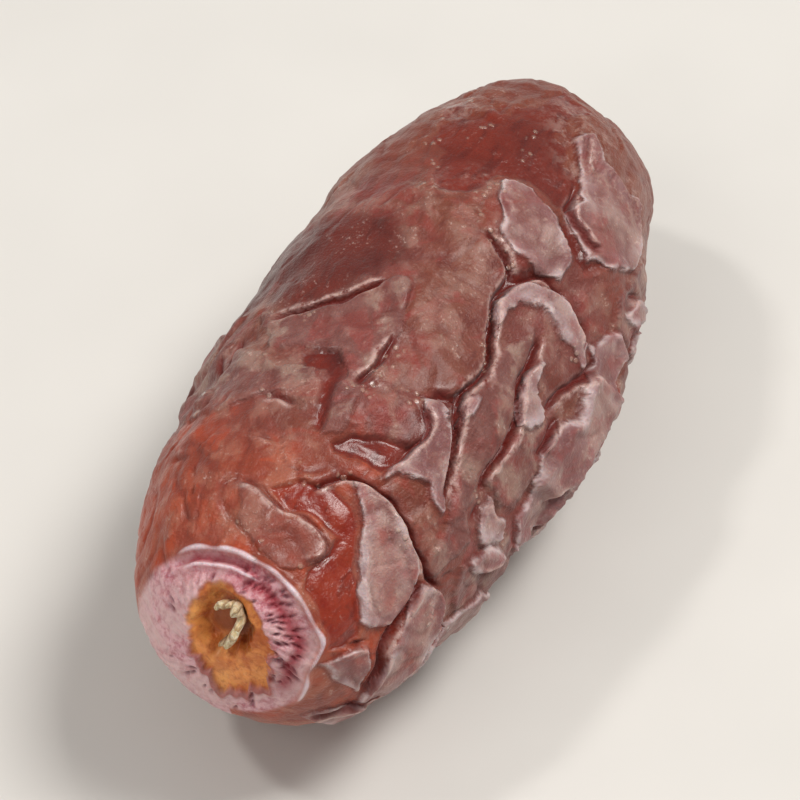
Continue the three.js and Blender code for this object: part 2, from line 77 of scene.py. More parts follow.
# %% Broad swellings and dents: mm, degrees, height, reach mm, reach degrees
SWELLS = [
    (26, 98, 1.15, 6.5, 20),
    (35, 92, 0.7, 4.5, 24),
    (3, -100, -0.9, 5, 45),
    (49, -30, 0.5, 5, 50),
    (18.5, -64, -0.55, 4, 15),
    (27.5, -14, -0.45, 3.2, 15),
    (14.4, 24, -0.35, 1.6, 9),
    (5.2, 46, -0.3, 2, 10),
    (33.4, 44, -0.35, 1.3, 12),
    (22, 150, 0.5, 6, 18),
    (33, -150, 0.6, 7, 20),
    (14, -112, 0.45, 5, 18),
    (38, -95, -0.5, 4.5, 16),
    (12, 168, -0.4, 3.5, 18),
    (40, 140, -0.45, 5, 18),
]

# %% Small helpers for shapes


def bell(value):
    """A smooth bump: 1 at zero, falling to nothing by about 2."""
    return np.exp(-np.square(value))


def smooth(low, high, value):
    """0 below low, 1 above high, and an S-shaped ramp between them."""
    x = np.clip((value - low) / (high - low), 0, 1)
    return x * x * (3 - 2 * x)


def turn_between(start, end):
    """Signed turn from one angle to another, in degrees from -180 to 180."""
    return (end - start + 540) % 360 - 180


def patch(mm, degrees, zone):
    """A soft oval patch of the skin: a bell along the fruit times a bell round it."""
    at_mm, at_degrees, reach_mm, reach_degrees = zone
    along = bell((mm - at_mm) / reach_mm)
    return along * bell(turn_between(at_degrees, degrees) / reach_degrees)


# %% [markdown]
# ## The smooth fruit
# Under its folds a date is a long rounded body. A superellipse gives it blunt ends: its
# radius share is (1 - |2t - 1|^n)^(1/n). The section is an ellipse with broad swellings,
# and the centreline ends in an arc that lifts the scar end a little.

# %% The smooth skin


def girth(mm):
    """Radius share along the fruit, a superellipse that is blunter at the scar end."""
    across = 2 * mm / LENGTH - 1
    bluntness = np.where(across < 0, SCAR_END_BLUNTNESS, TIP_END_BLUNTNESS)
    return np.maximum(0, 1 - np.abs(across) ** bluntness) ** (1 / bluntness)


def section(mm, degrees):
    """y and z across the section: an ellipse of the girth, with the swellings added."""
    swelling = sum(
        height * patch(mm, degrees, (at_mm, at_degrees, *reach))
        for at_mm, at_degrees, height, *reach in SWELLS)
    size = girth(mm) * (1 + swelling / HALF_WIDTH)
    angle = np.radians(degrees)
    return -HALF_WIDTH * size * np.sin(angle), HALF_HEIGHT * size * np.cos(angle)


def skin(mm, degrees):
    """Point of the smooth skin: the section, leaned, lifted and turned by the centreline."""
    mm, degrees = np.broadcast_arrays(np.asarray(mm, float), np.asarray(degrees, float))
    y, z = section(mm, degrees)
    radius = BEND_LENGTH / BEND_ANGLE
    turn = np.maximum(0, BEND_LENGTH - mm) / radius
    along = np.where(turn > 0, BEND_LENGTH - radius * np.sin(turn), mm) - LENGTH / 2
    lean_y, lean_z = -math.sin(LEAN), math.cos(LEAN)
    rise = SCAR_RISE * (1 - girth(mm)) ** SCAR_RISE_SHARPNESS * (mm < LENGTH / 2)
    up = y * lean_y + z * lean_z + rise
    side = y * lean_z - z * lean_y
    high = radius * (1 - np.cos(turn)) + up * np.cos(turn)
    x = along + up * np.sin(turn)
    return np.stack([x, high * lean_y + side * lean_z, high * lean_z - side * lean_y], -1)


def unit(vectors):
    """The same directions with a length of 1."""
    return vectors / (np.linalg.norm(vectors, axis=-1, keepdims=True) + 1e-12)


def outward(mm, degrees):
    """Unit normal of the smooth skin: the cross product of a step round and one along."""
    at = np.clip(np.asarray(mm, float), 2 * SLOPE_STEP, LENGTH - 2 * SLOPE_STEP)
    along = skin(at + SLOPE_STEP, degrees) - skin(at - SLOPE_STEP, degrees)
    return unit(np.cross(skin(at, degrees + 1) - skin(at, degrees - 1), along))


print("widest place:", round(2 * HALF_WIDTH, 1), "mm before the swellings and folds")

# %% [markdown]
# ## Folds of the skin
# Where loose skin folds, it leaves a crease with a raised lip on one side or both. Each fold below
# has a depth, a half-width, the height of its left and right lips, and a route of listed points.
# The far side wears the same kinds of folds, turned and mirrored.

# %% Routes of the folds: depth, half-width, left lip, right lip, then mm and degrees
FOLDS = [
    # the long crease beside the big finger-shaped flap, down past the pale tongue
    (0.95, 0.5, 0.32, 0.26, [
        (32.3, 13), (31.8, 20.5), (31.2, 27), (30.3, 30), (28.6, 29.5), (27.3, 32),
        (26.2, 34.5), (25, 37.5), (24.1, 39), (22.8, 40), (21.3, 37.5), (20.1, 37.8),
        (19.3, 39.5), (18.5, 42), (17.6, 44.5), (16.6, 47), (15.6, 50), (14.7, 52),
        (13.3, 52.5)]),
    # the pale tongue: its far edge, and the hollow over its end
    (0.55, 0.45, 0.4, 0.1, [
        (18.2, 25.5), (17.8, 29.5), (17.1, 33), (16.2, 34.5), (14.5, 33), (13.5, 32),
        (12.3, 29.5)]),
    (0.55, 0.6, 0.1, 0.15, [(20.3, 38), (19.7, 33), (19.2, 29), (18.6, 26)]),
    # the big flap: its rounded end, the crease inside it and the one that parts its foot
    (0.55, 0.5, 0.05, 0.45, [
        (28.6, 30.5), (30, 32), (31.2, 35.5), (32.1, 39.5), (32.4, 44.5), (32.3, 49),
        (32, 55), (31.7, 59.5), (32, 63.5), (31, 66), (30.1, 68.5)]),
    (0.65, 0.5, 0.4, 0.12, [
        (28.8, 50), (27.3, 51.5), (25.9, 52), (24.8, 52.5), (23.6, 54), (22.6, 57),
        (21.7, 58.5), (20.3, 59.5), (19, 60), (17.9, 59.5), (17.2, 62), (17.6, 66.5)]),
    (0.5, 0.45, 0.35, 0.12, [
        (31.2, 77), (30.6, 74.5), (29.6, 73), (28, 70), (26.5, 67.5), (25.2, 67.5),
        (24.4, 66)]),
    (0.45, 0.45, 0.2, 0.1, [(17, 63), (16.2, 65.5), (15.4, 67.5), (14.4, 69.5)]),
    (0.45, 0.45, 0.1, 0.35, [(17.9, 67), (17.2, 72), (17.4, 76), (17.9, 79)]),
    (0.55, 0.45, 0.38, 0.1, [(26.3, 72.5), (24.5, 73), (23.2, 73.5), (21.6, 74.2)]),
    # flaps near the tip
    (0.6, 0.45, 0.42, 0.15, [
        (40.5, 33), (39.2, 34.3), (38, 34.5), (37.4, 37), (37, 41), (36.8, 45),
        (36.6, 49.5), (37.4, 54)]),
    (0.25, 0.5, 0.28, 0, [(45.2, 25), (43.3, 29), (42.2, 33), (41.4, 38)]),
    (0.3, 0.45, 0.22, 0.05, [(35.4, 10), (35.2, 13), (34.6, 16.5), (33.4, 18.5)]),
    (0.4, 0.45, 0.3, 0.05, [(38.8, 83), (38, 77), (37, 73), (36.2, 71)]),
    # the crease across the top and the slit beside it
    (0.55, 0.42, 0.36, 0.2, [
        (20.9, -38), (21.4, -31), (21.9, -26), (22.5, -20), (23.1, -14.5), (23.9, -10),
        (24.7, -5.5), (25.9, -1.5)]),
    (0.55, 0.5, 0.1, 0.3, [
        (22.3, 8.7), (21.6, 9), (20.8, 9.7), (19.8, 9.5), (18.3, 8.7), (16.7, 8.1),
        (16, 8)]),
    (0.2, 0.45, 0.1, 0.05, [(22.3, 8.7), (23.5, 7.7), (25.2, 6.8), (26.3, 4), (26.6, 0.5)]),
    # short creases across the scar end
    (0.35, 0.4, 0.1, 0.28, [(14.3, -23), (14.2, -16), (14.1, -12), (13.9, -7), (13.5, -3)]),
    (0.3, 0.4, 0.05, 0.2, [(11.1, -19), (10.9, -13.5), (10.8, -9.5), (10.5, -4)]),
    (0.3, 0.4, 0.25, 0.05, [(9.6, -50), (9.3, -43), (8.8, -36)]),
    (0.3, 0.4, 0.22, 0.05, [(13, 9), (13.4, 12), (13.9, 16), (14.4, 19)]),
    (0.6, 0.45, 0.1, 0.45, [
        (7.9, 12), (8.7, 14.5), (9.7, 17.5), (10.4, 20), (10.6, 24), (10.7, 30),
        (10.9, 37), (10.7, 43), (10.4, 49), (10, 56), (9.8, 64), (9.7, 70), (10.2, 75),
        (10.8, 79)]),
    # the notch at the back of the top
    (0.55, 0.5, 0.05, 0.35, [(15.2, -44), (16.5, -47), (18, -50), (19.4, -51)]),
]

# %% Folds of the scar end, which have no like on the far side
SCAR_FOLDS = [
    # the smooth oval flake and the flap beside it
    (0.28, 0.42, 0.05, 0.32, [
        (7, -18), (7.3, -9), (6.9, -3), (6.5, 3), (6.4, 9), (6.5, 14), (6.3, 21), (6, 27),
        (5.5, 31), (4.6, 30.5), (4, 27), (3.6, 23)]),
    (0.12, 0.5, 0.22, 0, [(8.2, 36), (7.3, 40), (6.4, 46), (5.2, 54), (4.6, 62), (4.9, 68)]),
    # the strip along the front and the mauve plate at the scar
    (0.5, 0.45, 0.4, 0.1, [
        (9.6, 68), (8.6, 69), (7.7, 71.5), (6.8, 74.5), (5.7, 79), (5, 85), (4.8, 92),
        (4.4, 102), (4.2, 112)]),
    (0.3, 0.42, 0.05, 0.25, [(2.4, 72), (3.2, 74.5), (4.3, 77.5), (4.7, 81)]),
    (0.4, 0.45, 0.05, 0.3, [
        (1.8, 134), (2.6, 128), (3.4, 122), (4.8, 117), (6.5, 114), (8.5, 112)]),
    # folds that run out from under the scar band, round its hidden side
    (0.45, 0.5, 0.25, 0.1, [(3.4, 148), (5, 150), (7.4, 147), (10, 149)]),
    (0.4, 0.5, 0.1, 0.3, [(3.2, 172), (4.8, 174), (6.6, 171), (8.2, 173)]),
    (0.5, 0.5, 0.3, 0.1, [(3.4, -162), (5.4, -160), (8, -163), (10.8, -158)]),
    (0.4, 0.5, 0.1, 0.25, [(3.2, -136), (4.8, -134), (6.8, -137), (9, -133)]),
    (0.45, 0.5, 0.25, 0.1, [(3.6, -110), (5.6, -107), (8.4, -109)]),
    (0.35, 0.5, 0.1, 0.25, [(4.2, -82), (6, -80), (8.6, -83)]),
]
print(len(FOLDS) + len(SCAR_FOLDS), "folds placed by hand")

# %% Copies on the far side: start, along, centre and round, and how far points are moved
FOLDS_MIDDLE = 16.0
FAR_COPIES = [(53.0, -1.0, 142.0, -0.82), (1.5, 0.96, 262.0, -0.82)]
FAR_SEED = 5
FAR_JITTER = (0.7, 2.5)

# %% Numbers drawn from a seed


def seeded(seed):
    """Draws from 0 to 1, the same on every run, by mixing the bits of a 32-bit number."""
    state = seed * 2654435761 & 0xFFFFFFFF
    while True:
        state = ((state ^ state >> 15) * 2246822519 + 0x9E3779B9) & 0xFFFFFFFF
        mixed = (state ^ state >> 13) * 3266489917 & 0xFFFFFFFF
        yield (mixed ^ mixed >> 16) / 4294967296


# %% Lay the folds on the far side


def far_place(copy, mm, degrees):
    """Where a copy lays a place: start + along * mm, centre + round * (degrees - middle)."""
    start, along, centre, turned = copy
    return start + along * mm, centre + turned * (degrees - FOLDS_MIDDLE)


def far_folds():
    """The hand-placed folds laid on the far side, each point moved a little."""
    draw = seeded(FAR_SEED)
    copies = []
    for copy in FAR_COPIES:
        mirrored = copy[1] * copy[3] < 0
        for depth, half_width, left, right, points in FOLDS:
            moved = []
            for mm, degrees in points:
                at_mm, at_degrees = far_place(copy, mm, degrees)
                at_mm += (next(draw) - 0.5) * 2 * FAR_JITTER[0]
                at_degrees += (next(draw) - 0.5) * 2 * FAR_JITTER[1]
                moved.append((at_mm, at_degrees))
            lips = (right, left) if mirrored else (left, right)
            copies.append((depth, half_width, *lips, moved))
    return copies


# %% [markdown]
# Many short, shallow wrinkles lie between the big folds. Nobody could place them all by hand,
# so they are drawn: a start on a loose lattice, a heading that is mostly lengthwise, a length
# and a curve. The draws are seeded, so that the fruit is the same on every run.

# %% Fine wrinkles
WRINKLE_SEED = 23
WRINKLE_ROWS = 16
WRINKLE_COLUMNS = 11
WRINKLE_SPAN = (5, 43)
WRINKLE_HEADING = (-50, 100)
WRINKLE_HALF_LENGTH = (0.9, 1.5)
WRINKLE_BOW = 0.7
WRINKLE_DEPTH = (0.1, 0.2)
WRINKLE_HALF_WIDTH = 0.3
WRINKLE_LIPS = (0.15, 0.08)
DEGREES_PER_MM = 5.4


def fine_wrinkles():
    """Short curved routes on a jittered lattice: depth, half-width, lips and three points."""
    draw = seeded(WRINKLE_SEED)

    def drawn(low, span):
        return low + span * next(draw)

    wrinkles = []
    for row in range(WRINKLE_ROWS):
        for column in range(WRINKLE_COLUMNS):
            mm = WRINKLE_SPAN[0] + WRINKLE_SPAN[1] * (row + next(draw)) / WRINKLE_ROWS
            degrees = 360 * (column + next(draw)) / WRINKLE_COLUMNS
            heading = math.radians(drawn(*WRINKLE_HEADING))
            half = drawn(*WRINKLE_HALF_LENGTH)
            bow = WRINKLE_BOW * (next(draw) - 0.5)
            step = np.array([math.cos(heading), DEGREES_PER_MM * math.sin(heading)]) * half
            aside = np.array([math.sin(heading), DEGREES_PER_MM * math.cos(heading)]) * bow
            middle = np.array([mm, degrees])
            depth = drawn(*WRINKLE_DEPTH)
            high, low = WRINKLE_LIPS[0] * next(draw), WRINKLE_LIPS[1]
            route = [middle - step, middle + aside, middle + step]
            wrinkles.append((depth, WRINKLE_HALF_WIDTH, high, low, route))
    return wrinkles


# %% Routes laid on the skin
ROUTE_STEP = 0.5
FEWEST_STEPS = 6


def catmull_rom(points, count):
    """A smooth curve through the points: cubic pieces whose slope is half the chord."""
    points = np.asarray(points, float)
    padded = np.vstack([points[:1], points, points[-1:]])
    at = np.linspace(0, len(points) - 1, count + 1)
    piece = np.minimum(at.astype(int), len(points) - 2)
    t = (at - piece)[:, None]
    p0, p1, p2, p3 = (padded[piece + i] for i in range(4))
    slope0, slope1 = (p2 - p0) / 2, (p3 - p1) / 2
    cubic = (2 * p1 - 2 * p2 + slope0 + slope1) * t**3
    return cubic + (-3 * p1 + 3 * p2 - 2 * slope0 - slope1) * t**2 + slope0 * t + p1


# %% Lay the routes


def lay(fold):
    """A fold as a chain of points on the skin, with the outward way and the run at each."""
    depth, half_width, left, right, points = fold
    ends = skin(*np.transpose(points))
    rough = np.linalg.norm(np.diff(ends, axis=0), axis=1).sum()
    places = catmull_rom(points, max(FEWEST_STEPS, math.ceil(rough / ROUTE_STEP)))
    at = skin(places[:, 0], places[:, 1])
    steps = np.linalg.norm(np.diff(at, axis=0), axis=1)
    run = np.concatenate([[0], np.cumsum(steps)])
    middle = at.mean(0)
    return {
        "depth": depth, "half_width": half_width, "left": left, "right": right,
        "at": at, "out": outward(places[:, 0], places[:, 1]), "run": run,
        "middle": middle, "reach": np.linalg.norm(at - middle, axis=1).max(),
    }


big_creases = [lay(fold) for fold in FOLDS + SCAR_FOLDS + far_folds()]
small_creases = [lay(fold) for fold in fine_wrinkles()]
print(len(big_creases), "folds and", len(small_creases), "fine wrinkles")

# %% [markdown]
# ## From routes to relief
# A fold is like a torn shingle. Its higher lip is a plate that rises slowly and then drops
# steeply into the crease, and the skin on the other side climbs out of it gently. The height
# at a point of the skin depends on how far away the nearest crease is and on which side.
# Where folds meet, the deepest crease and the highest lip win, so crossings don't add up.

# %% Shares and reaches of a fold's parts
FOLD_TAPER = 1.6
EDGE_DROP = 0.15
RIM_SHARE = 0.36
RIM_REACH = 0.26
PLATE_REACH = 3.0
LOW_PLATE_REACH = 1.3
CREASE_SHARE = 0.62
STEEP_SHARE = 0.28
GENTLE_SHARE = 0.58
HOLLOW_SHARE = 0.28
HOLLOW_REACH = 2.6
SEEN_FROM = 2.5 * HOLLOW_REACH
LIP_WAVES = ((0.12, 1.9, 1), (0.06, 7.3, 2))
LIP_FOOT = 0.02
TAPERED_OFF = 0.02
FAR_OFF = 9.0

# %% The nearest place on a crease


def nearest(crease, points):
    """Nearest place on the chain for each point: distance, side, run and that place."""
    start, span = crease["at"][:-1], np.diff(crease["at"], axis=0)
    offset = points[:, None] - start
    share = np.clip((offset * span).sum(-1) / (span**2).sum(-1), 0, 1)
    gap = offset - span * share[..., None]
    distance = np.linalg.norm(gap, axis=-1)
    pick = distance.argmin(1)
    rows = np.arange(len(points))
    left = np.cross(crease["out"][pick], span[pick])
    side = np.where((left * gap[rows, pick]).sum(-1) >= 0, 1.0, -1.0)
    run = crease["run"][pick] + share[rows, pick] * np.linalg.norm(span[pick], axis=1)
    return distance[rows, pick], side, run, gap[rows, pick]


# %% The height beside the creases


def fold_fields(points, creases):
    """Depth, lip and hollow at each point, and the distance to the nearest crease.

    The crease is a narrow bell of the distance. The lip is a thin rim that dies away, on a
    wide bell, and it tapers off at both ends of the crease with a small waviness along it.
    """
    names = ("deep", "lip", "hollow", "strength", "lip_side")
    fields = {name: np.zeros(len(points)) for name in names}
    fields["distance"] = np.full(len(points), FAR_OFF)
    fields["pull"] = np.zeros((len(points), 3))
    for number, crease in enumerate(creases):
        away = np.linalg.norm(points - crease["middle"], axis=1)
        close = np.flatnonzero(away < crease["reach"] + SEEN_FROM)
        if not len(close):
            continue
        distance, side, run, gap = nearest(crease, points[close])
        total = crease["run"][-1]
        taper = smooth(0, FOLD_TAPER, run) * smooth(0, FOLD_TAPER, total - run)
        rough = 1 + sum(
            share * np.sin(turns * run + phase * number) for share, turns, phase in LIP_WAVES)
        high = np.where(side > 0, crease["left"], crease["right"])
        steep = high >= max(crease["left"], crease["right"])
        width = crease["half_width"] * np.where(steep, STEEP_SHARE, GENTLE_SHARE)
        deep = CREASE_SHARE * crease["depth"] * taper * bell(distance / width)
        reach = np.where(steep, PLATE_REACH, LOW_PLATE_REACH)
        behind = np.maximum(0, distance - EDGE_DROP)
        rim = RIM_SHARE * np.exp(-behind / RIM_REACH)
        back = rim + (1 - RIM_SHARE) * bell(behind / reach)
        lip = high * taper * rough * smooth(LIP_FOOT, EDGE_DROP, distance) * back
        hollow = crease["depth"] * HOLLOW_SHARE * taper * bell(distance / HOLLOW_REACH)
        for name, here in (("deep", deep), ("lip", lip), ("hollow", hollow)):
            fields[name][close] = np.maximum(fields[name][close], here)
        nearer = (distance < fields["distance"][close]) & (taper > TAPERED_OFF)
        spot = close[nearer]
        fields["distance"][spot] = distance[nearer]
        fields["lip_side"][spot] = (high * taper)[nearer]
        fields["strength"][spot] = (crease["depth"] * taper)[nearer]
        fields["pull"][spot] = gap[nearer]
    return fields


# %% Waves that shape and shake the surface
WAVE_SEED = 11
WAVE_COUNT = 9
WAVE_HEIGHT = 0.07
WAVE_ALONG = (1.5, 5)
WAVE_MOST_TURNS = 4


def slow_waves(mm, degrees):
    """Gentle lumps: a sum of sines with drawn turns along and round the fruit."""
    draw = seeded(WAVE_SEED)
    height = 0
    for _ in range(WAVE_COUNT):
        along = WAVE_ALONG[0] + WAVE_ALONG[1] * next(draw)
        turns = math.floor(WAVE_MOST_TURNS * (2 * next(draw) - 1) + 0.5)
        phase = 2 * math.pi * next(draw)
        angle = 2 * math.pi * along * mm / LENGTH + turns * np.radians(degrees)
        height = height + WAVE_HEIGHT * np.sin(angle + phase)
    return height


def shake(points, seed, count, shortest, longest):
    """A smooth uneven number at each point, about -2 to 2: sines along drawn directions."""
    draw = seeded(seed)
    total = 0
    for _ in range(count):
        way = unit(np.array([next(draw) - 0.5 for _ in range(3)]))
        length = shortest + (longest - shortest) * next(draw)
        phase = 2 * math.pi * next(draw)
        total = total + np.sin(points @ way * 2 * math.pi / length + phase)
    return total / math.sqrt(count)


def shake_all_ways(points, first_seed, count, shortest, longest):
    """Three such numbers at each point, as a small move in x, y and z."""
    ways = [shake(points, first_seed + i, count, shortest, longest) for i in range(3)]
    return np.stack(ways, -1)


def wavy(angle, *terms):
    """A sum of sines of an angle: the share, the turns and the phase of each."""
    return sum(share * np.sin(turns * angle + phase) for share, turns, phase in terms)


# %% [markdown]
# ## The stalk scar
# Where the stalk broke off, the fruit has an orange disc in a mauve band, and a ridge of
# skin stands round the upper side of the band. The pit in the disc held the stalk's fibre.
# The relief is all written from the distance to the pole and to the disc's own centre.

# %% Measures of the scar
DISC_CENTRE = (0.15, 1.1)
DISC_HALF_WIDTH = 2.6
DISC_HALF_HEIGHT = 3.9
DISC_TILT = math.radians(14)
DISC_SINK = 0.25
RIDGE_RADIUS = 6.9
RIDGE_STEPS = ((0.9, -5, 55), (1.3, 60, 90))
RIDGE_HEIGHT = 0.4
RIDGE_WIDTH = 0.55
RIDGE_ARC = (-40, 118)
RIDGE_ARC_FADE = 12
GROOVE_DEPTH = 0.3
INNER_RIDGE_SHARE = 0.55
INNER_RIDGE_OFFSET = 0.75
PIT_CENTRE = (0.7, 1.9)
PIT_HALF_WIDTH = 1.8
PIT_HALF_HEIGHT = 2.5
PIT_DEPTH = 1.2
PIT_WALL = (0.8, 1.15)
SHARPER = 0.42
INNER_SLIMNESS = 0.7
DISC_EDGE = (0.94, 1.04)
RIM_HEIGHT = 0.14

# %% Relief of the scar


def in_oval(y, z, centre, half_width, half_height, tilt):
    """How far out a place is in a leaning oval: 0 at the centre and 1 on the rim."""
    y, z = y - centre[0], z - centre[1]
    across = y * math.cos(tilt) - z * math.sin(tilt)
    tall = y * math.sin(tilt) + z * math.cos(tilt)
    return np.hypot(across / half_width, tall / half_height)


def scar_fields(mm, degrees):
    """Masks of the scar's parts and the height that they add to the skin."""
    y, z = section(mm, degrees)
    here = mm < LENGTH / 4
    around = np.arctan2(-(y - DISC_CENTRE[0]), z - DISC_CENTRE[1])
    turned = turn_between(0, degrees)
    shrunk = sum(shrinks * smooth(start, end, turned) for shrinks, start, end in RIDGE_STEPS)
    off_ridge = HALF_WIDTH * girth(mm) - RIDGE_RADIUS + shrunk
    off_ridge = off_ridge + wavy(around, (0.06, 5, 1), (0.02, 13, 0))
    first, last = RIDGE_ARC
    begun = smooth(first - RIDGE_ARC_FADE, first + RIDGE_ARC_FADE, turned)
    ended = smooth(last - RIDGE_ARC_FADE, last + RIDGE_ARC_FADE, turned)
    on_arc = here * begun * (1 - ended)
    outer_width = RIDGE_WIDTH * SHARPER
    inner_width = outer_width * INNER_SLIMNESS
    uneven = 0.82 + wavy(around, (0.12, 9, 2), (0.08, 21, 0))
    ridge = on_arc * uneven * bell(off_ridge / np.where(off_ridge < 0, inner_width, outer_width))
    inner = on_arc * bell((off_ridge + INNER_RIDGE_OFFSET) / inner_width)
    inner = inner * (1 - smooth(2, 26, turned)) * INNER_RIDGE_SHARE
    # one groove runs inside the ridge, and a narrow one between the two ridges at the top
    groove = bell((off_ridge + 1.1) / 0.5) * (0.4 + 0.6 * smooth(-10, 20, turned))
    narrow = bell((off_ridge + 0.42) / 0.2) * (1 - smooth(0, 25, turned))
    groove = on_arc * np.maximum(groove, narrow)
    # the disc's edge is torn, most of all on its lower side
    torn = wavy(around, (0.045, 7, 1), (0.035, 15, 0), (0.02, 31, 0))
    lower = smooth(-0.3, 0.7, -np.cos(around + 0.4))
    in_disc = in_oval(y, z, DISC_CENTRE, DISC_HALF_WIDTH, DISC_HALF_HEIGHT, DISC_TILT)
    in_disc = in_disc + torn * (0.6 + lower)
    disc = here * (1 - smooth(*DISC_EDGE, in_disc))
    in_pit = in_oval(y, z, PIT_CENTRE, PIT_HALF_WIDTH, PIT_HALF_HEIGHT, 0)
    in_pit = in_pit * (1 + wavy(around, (0.05, 5, 0), (0.03, 11, 2)))
    pit = here * (1 - smooth(*PIT_WALL, in_pit))
    band = here * (1 - smooth(-0.35, 0.1, off_ridge)) * (1 - disc)
    rim = here * lower * bell((in_disc - 1.06) / 0.07)
    height = RIDGE_HEIGHT * (ridge + inner) - GROOVE_DEPTH * groove + RIM_HEIGHT * rim
    height = height - DISC_SINK * disc - PIT_DEPTH * pit
    return {
        "height": height, "disc": disc, "pit": pit, "band": band, "rim": rim,
        "ridge": np.maximum(ridge, inner * 1.5), "groove": groove, "around": around,
        "in_disc": in_disc, "in_pit": in_pit, "y": y, "z": z,
    }


# %% [markdown]
# The band is drawn into small pits that run outwards from the disc, with low rays between
# them. Each pit has a drawn angle, distance and size, and more of them lie on the front side,
# where the band is widest.

# %% Pits of the band
BAND_PIT_SEED = 41
BAND_PIT_COUNT = 85
BAND_PIT_DEPTH = 0.26
BAND_PIT_RADIUS = (0.07, 0.08)
BAND_PIT_LENGTH = 2.2
BAND_PIT_SHARE = (1.12, 0.62)
BAND_PIT_CROWDING = 0.8
BAND_PIT_FLATTER = 0.82
FRONT_ARC = (5, 115)
STRAY_EVERY = 5
RAY_TURNS = 34
RAY_HEIGHT = 0.03


def band_pits(scar):
    """How deep in a small pit each point is, 0 to 1: elongated bells at drawn places."""
    draw = seeded(BAND_PIT_SEED)
    total = np.zeros(scar["y"].shape)
    for number in range(BAND_PIT_COUNT):
        first, span = FRONT_ARC if number % STRAY_EVERY else (0, 360)
        angle = math.radians(first + span * next(draw))
        share = BAND_PIT_SHARE[0] + BAND_PIT_SHARE[1] * next(draw) ** BAND_PIT_CROWDING
        size = BAND_PIT_RADIUS[0] + BAND_PIT_RADIUS[1] * next(draw)
        slant = angle + 0.35 + 0.9 * (next(draw) - 0.5)
        out_y, out_z = share * DISC_HALF_WIDTH, share * DISC_HALF_HEIGHT * BAND_PIT_FLATTER
        y = scar["y"] - DISC_CENTRE[0] + out_y * math.sin(angle)
        z = scar["z"] - DISC_CENTRE[1] - out_z * math.cos(angle)
        along = -y * math.sin(slant) + z * math.cos(slant)
        across = y * math.cos(slant) + z * math.sin(slant)
        here = bell(along / (size * BAND_PIT_LENGTH)) * bell(across / size)
        total = np.maximum(total, here)
    return total * scar["band"]


# %% [markdown]
# ## Plates and bare patches
# The skin is a mosaic. Loose plates are pale, greyish mauve and dull. Where the skin still lies on
# the flesh it is deep red and glossy. Each patch is an outline of a few listed points, like the
# folds, and most of them end at a fold. A plate also steps up with a curled edge, and a bare patch
# steps down.

# %% Outlines of the pale plates: step up in mm, then mm and degrees of each corner
PALE_PLATES = [
    # the tongue and its foot
    (0.16, [(18.6, 28), (18.8, 34), (18.2, 38), (16.4, 46), (14.7, 52), (13, 56), (13, 50),
            (13.8, 44), (12.7, 38), (12.3, 32), (14, 33), (15.5, 35), (16.9, 32)]),
    # the small wedge across the crease from the tongue
    (0.1, [(18.4, 41.2), (20, 40), (21.9, 43.3), (20.8, 44.5), (19.6, 43.6), (18.2, 43.2)]),
    # the rim of the big flap and the plate under it
    (0.14, [(26, 38), (27.8, 32), (29.2, 32), (30.5, 36), (31.4, 42), (31.7, 50), (31.5, 59),
            (31.7, 69), (29.6, 70), (29.6, 56), (30, 46), (29.6, 40), (28.3, 36)]),
    (0.14, [(21.5, 59), (23, 54), (24.7, 54), (27, 55), (27.3, 58), (25.3, 59), (24, 66),
            (22.4, 63)]),
    # the long strip down the front and the small bluish plate at its end
    (0.2, [(30.4, 77), (32, 92), (30.4, 101), (26.3, 94), (23.6, 98), (21.2, 103), (18.2, 96),
           (18.6, 83), (20.7, 82), (21, 77), (23, 79), (26, 78), (28, 76)]),
    (0.16, [(15.4, 70), (17.2, 66), (17, 74), (17.9, 80), (16.7, 85), (14.8, 76)]),
    # the strip beside the scar, the flap above it and the plates at the band
    (0.18, [(9.1, 69), (10.6, 82), (10, 91), (8.6, 102), (6.6, 107), (5, 119), (4.2, 121),
            (4.2, 102), (5.5, 88), (6.9, 77), (7.8, 70)]),
    (0.14, [(10.2, 23), (10.8, 32), (10.3, 38), (9.8, 47), (9.6, 58), (8.1, 68), (6.9, 74),
            (5.1, 73), (4.2, 65), (5, 54), (6.8, 40), (8.2, 36), (9, 30)]),
    (0.16, [(1.5, 80), (2.6, 75), (4.1, 81), (3.8, 91), (3.4, 106), (2.4, 95)]),
    (0.14, [(1.8, 134), (2.4, 118), (5.2, 120), (5, 136)]),
    # plates near the tip
    (0.18, [(43.8, 22), (45.3, 29), (43.6, 38), (43.6, 48), (44.2, 62), (42.3, 71), (39, 70),
            (36.6, 58), (35.7, 50), (36.4, 42), (37.4, 34), (39.3, 39), (41, 33)]),
    (0.12, [(36.8, 10), (37.8, 20), (36.7, 28), (35.8, 36), (34.8, 46), (33.4, 46), (32.2, 37),
            (31.8, 27), (32.4, 22), (34.7, 14)]),
    (0.14, [(38.6, 80), (35.6, 75), (36.4, 86), (39.8, 95)]),
]

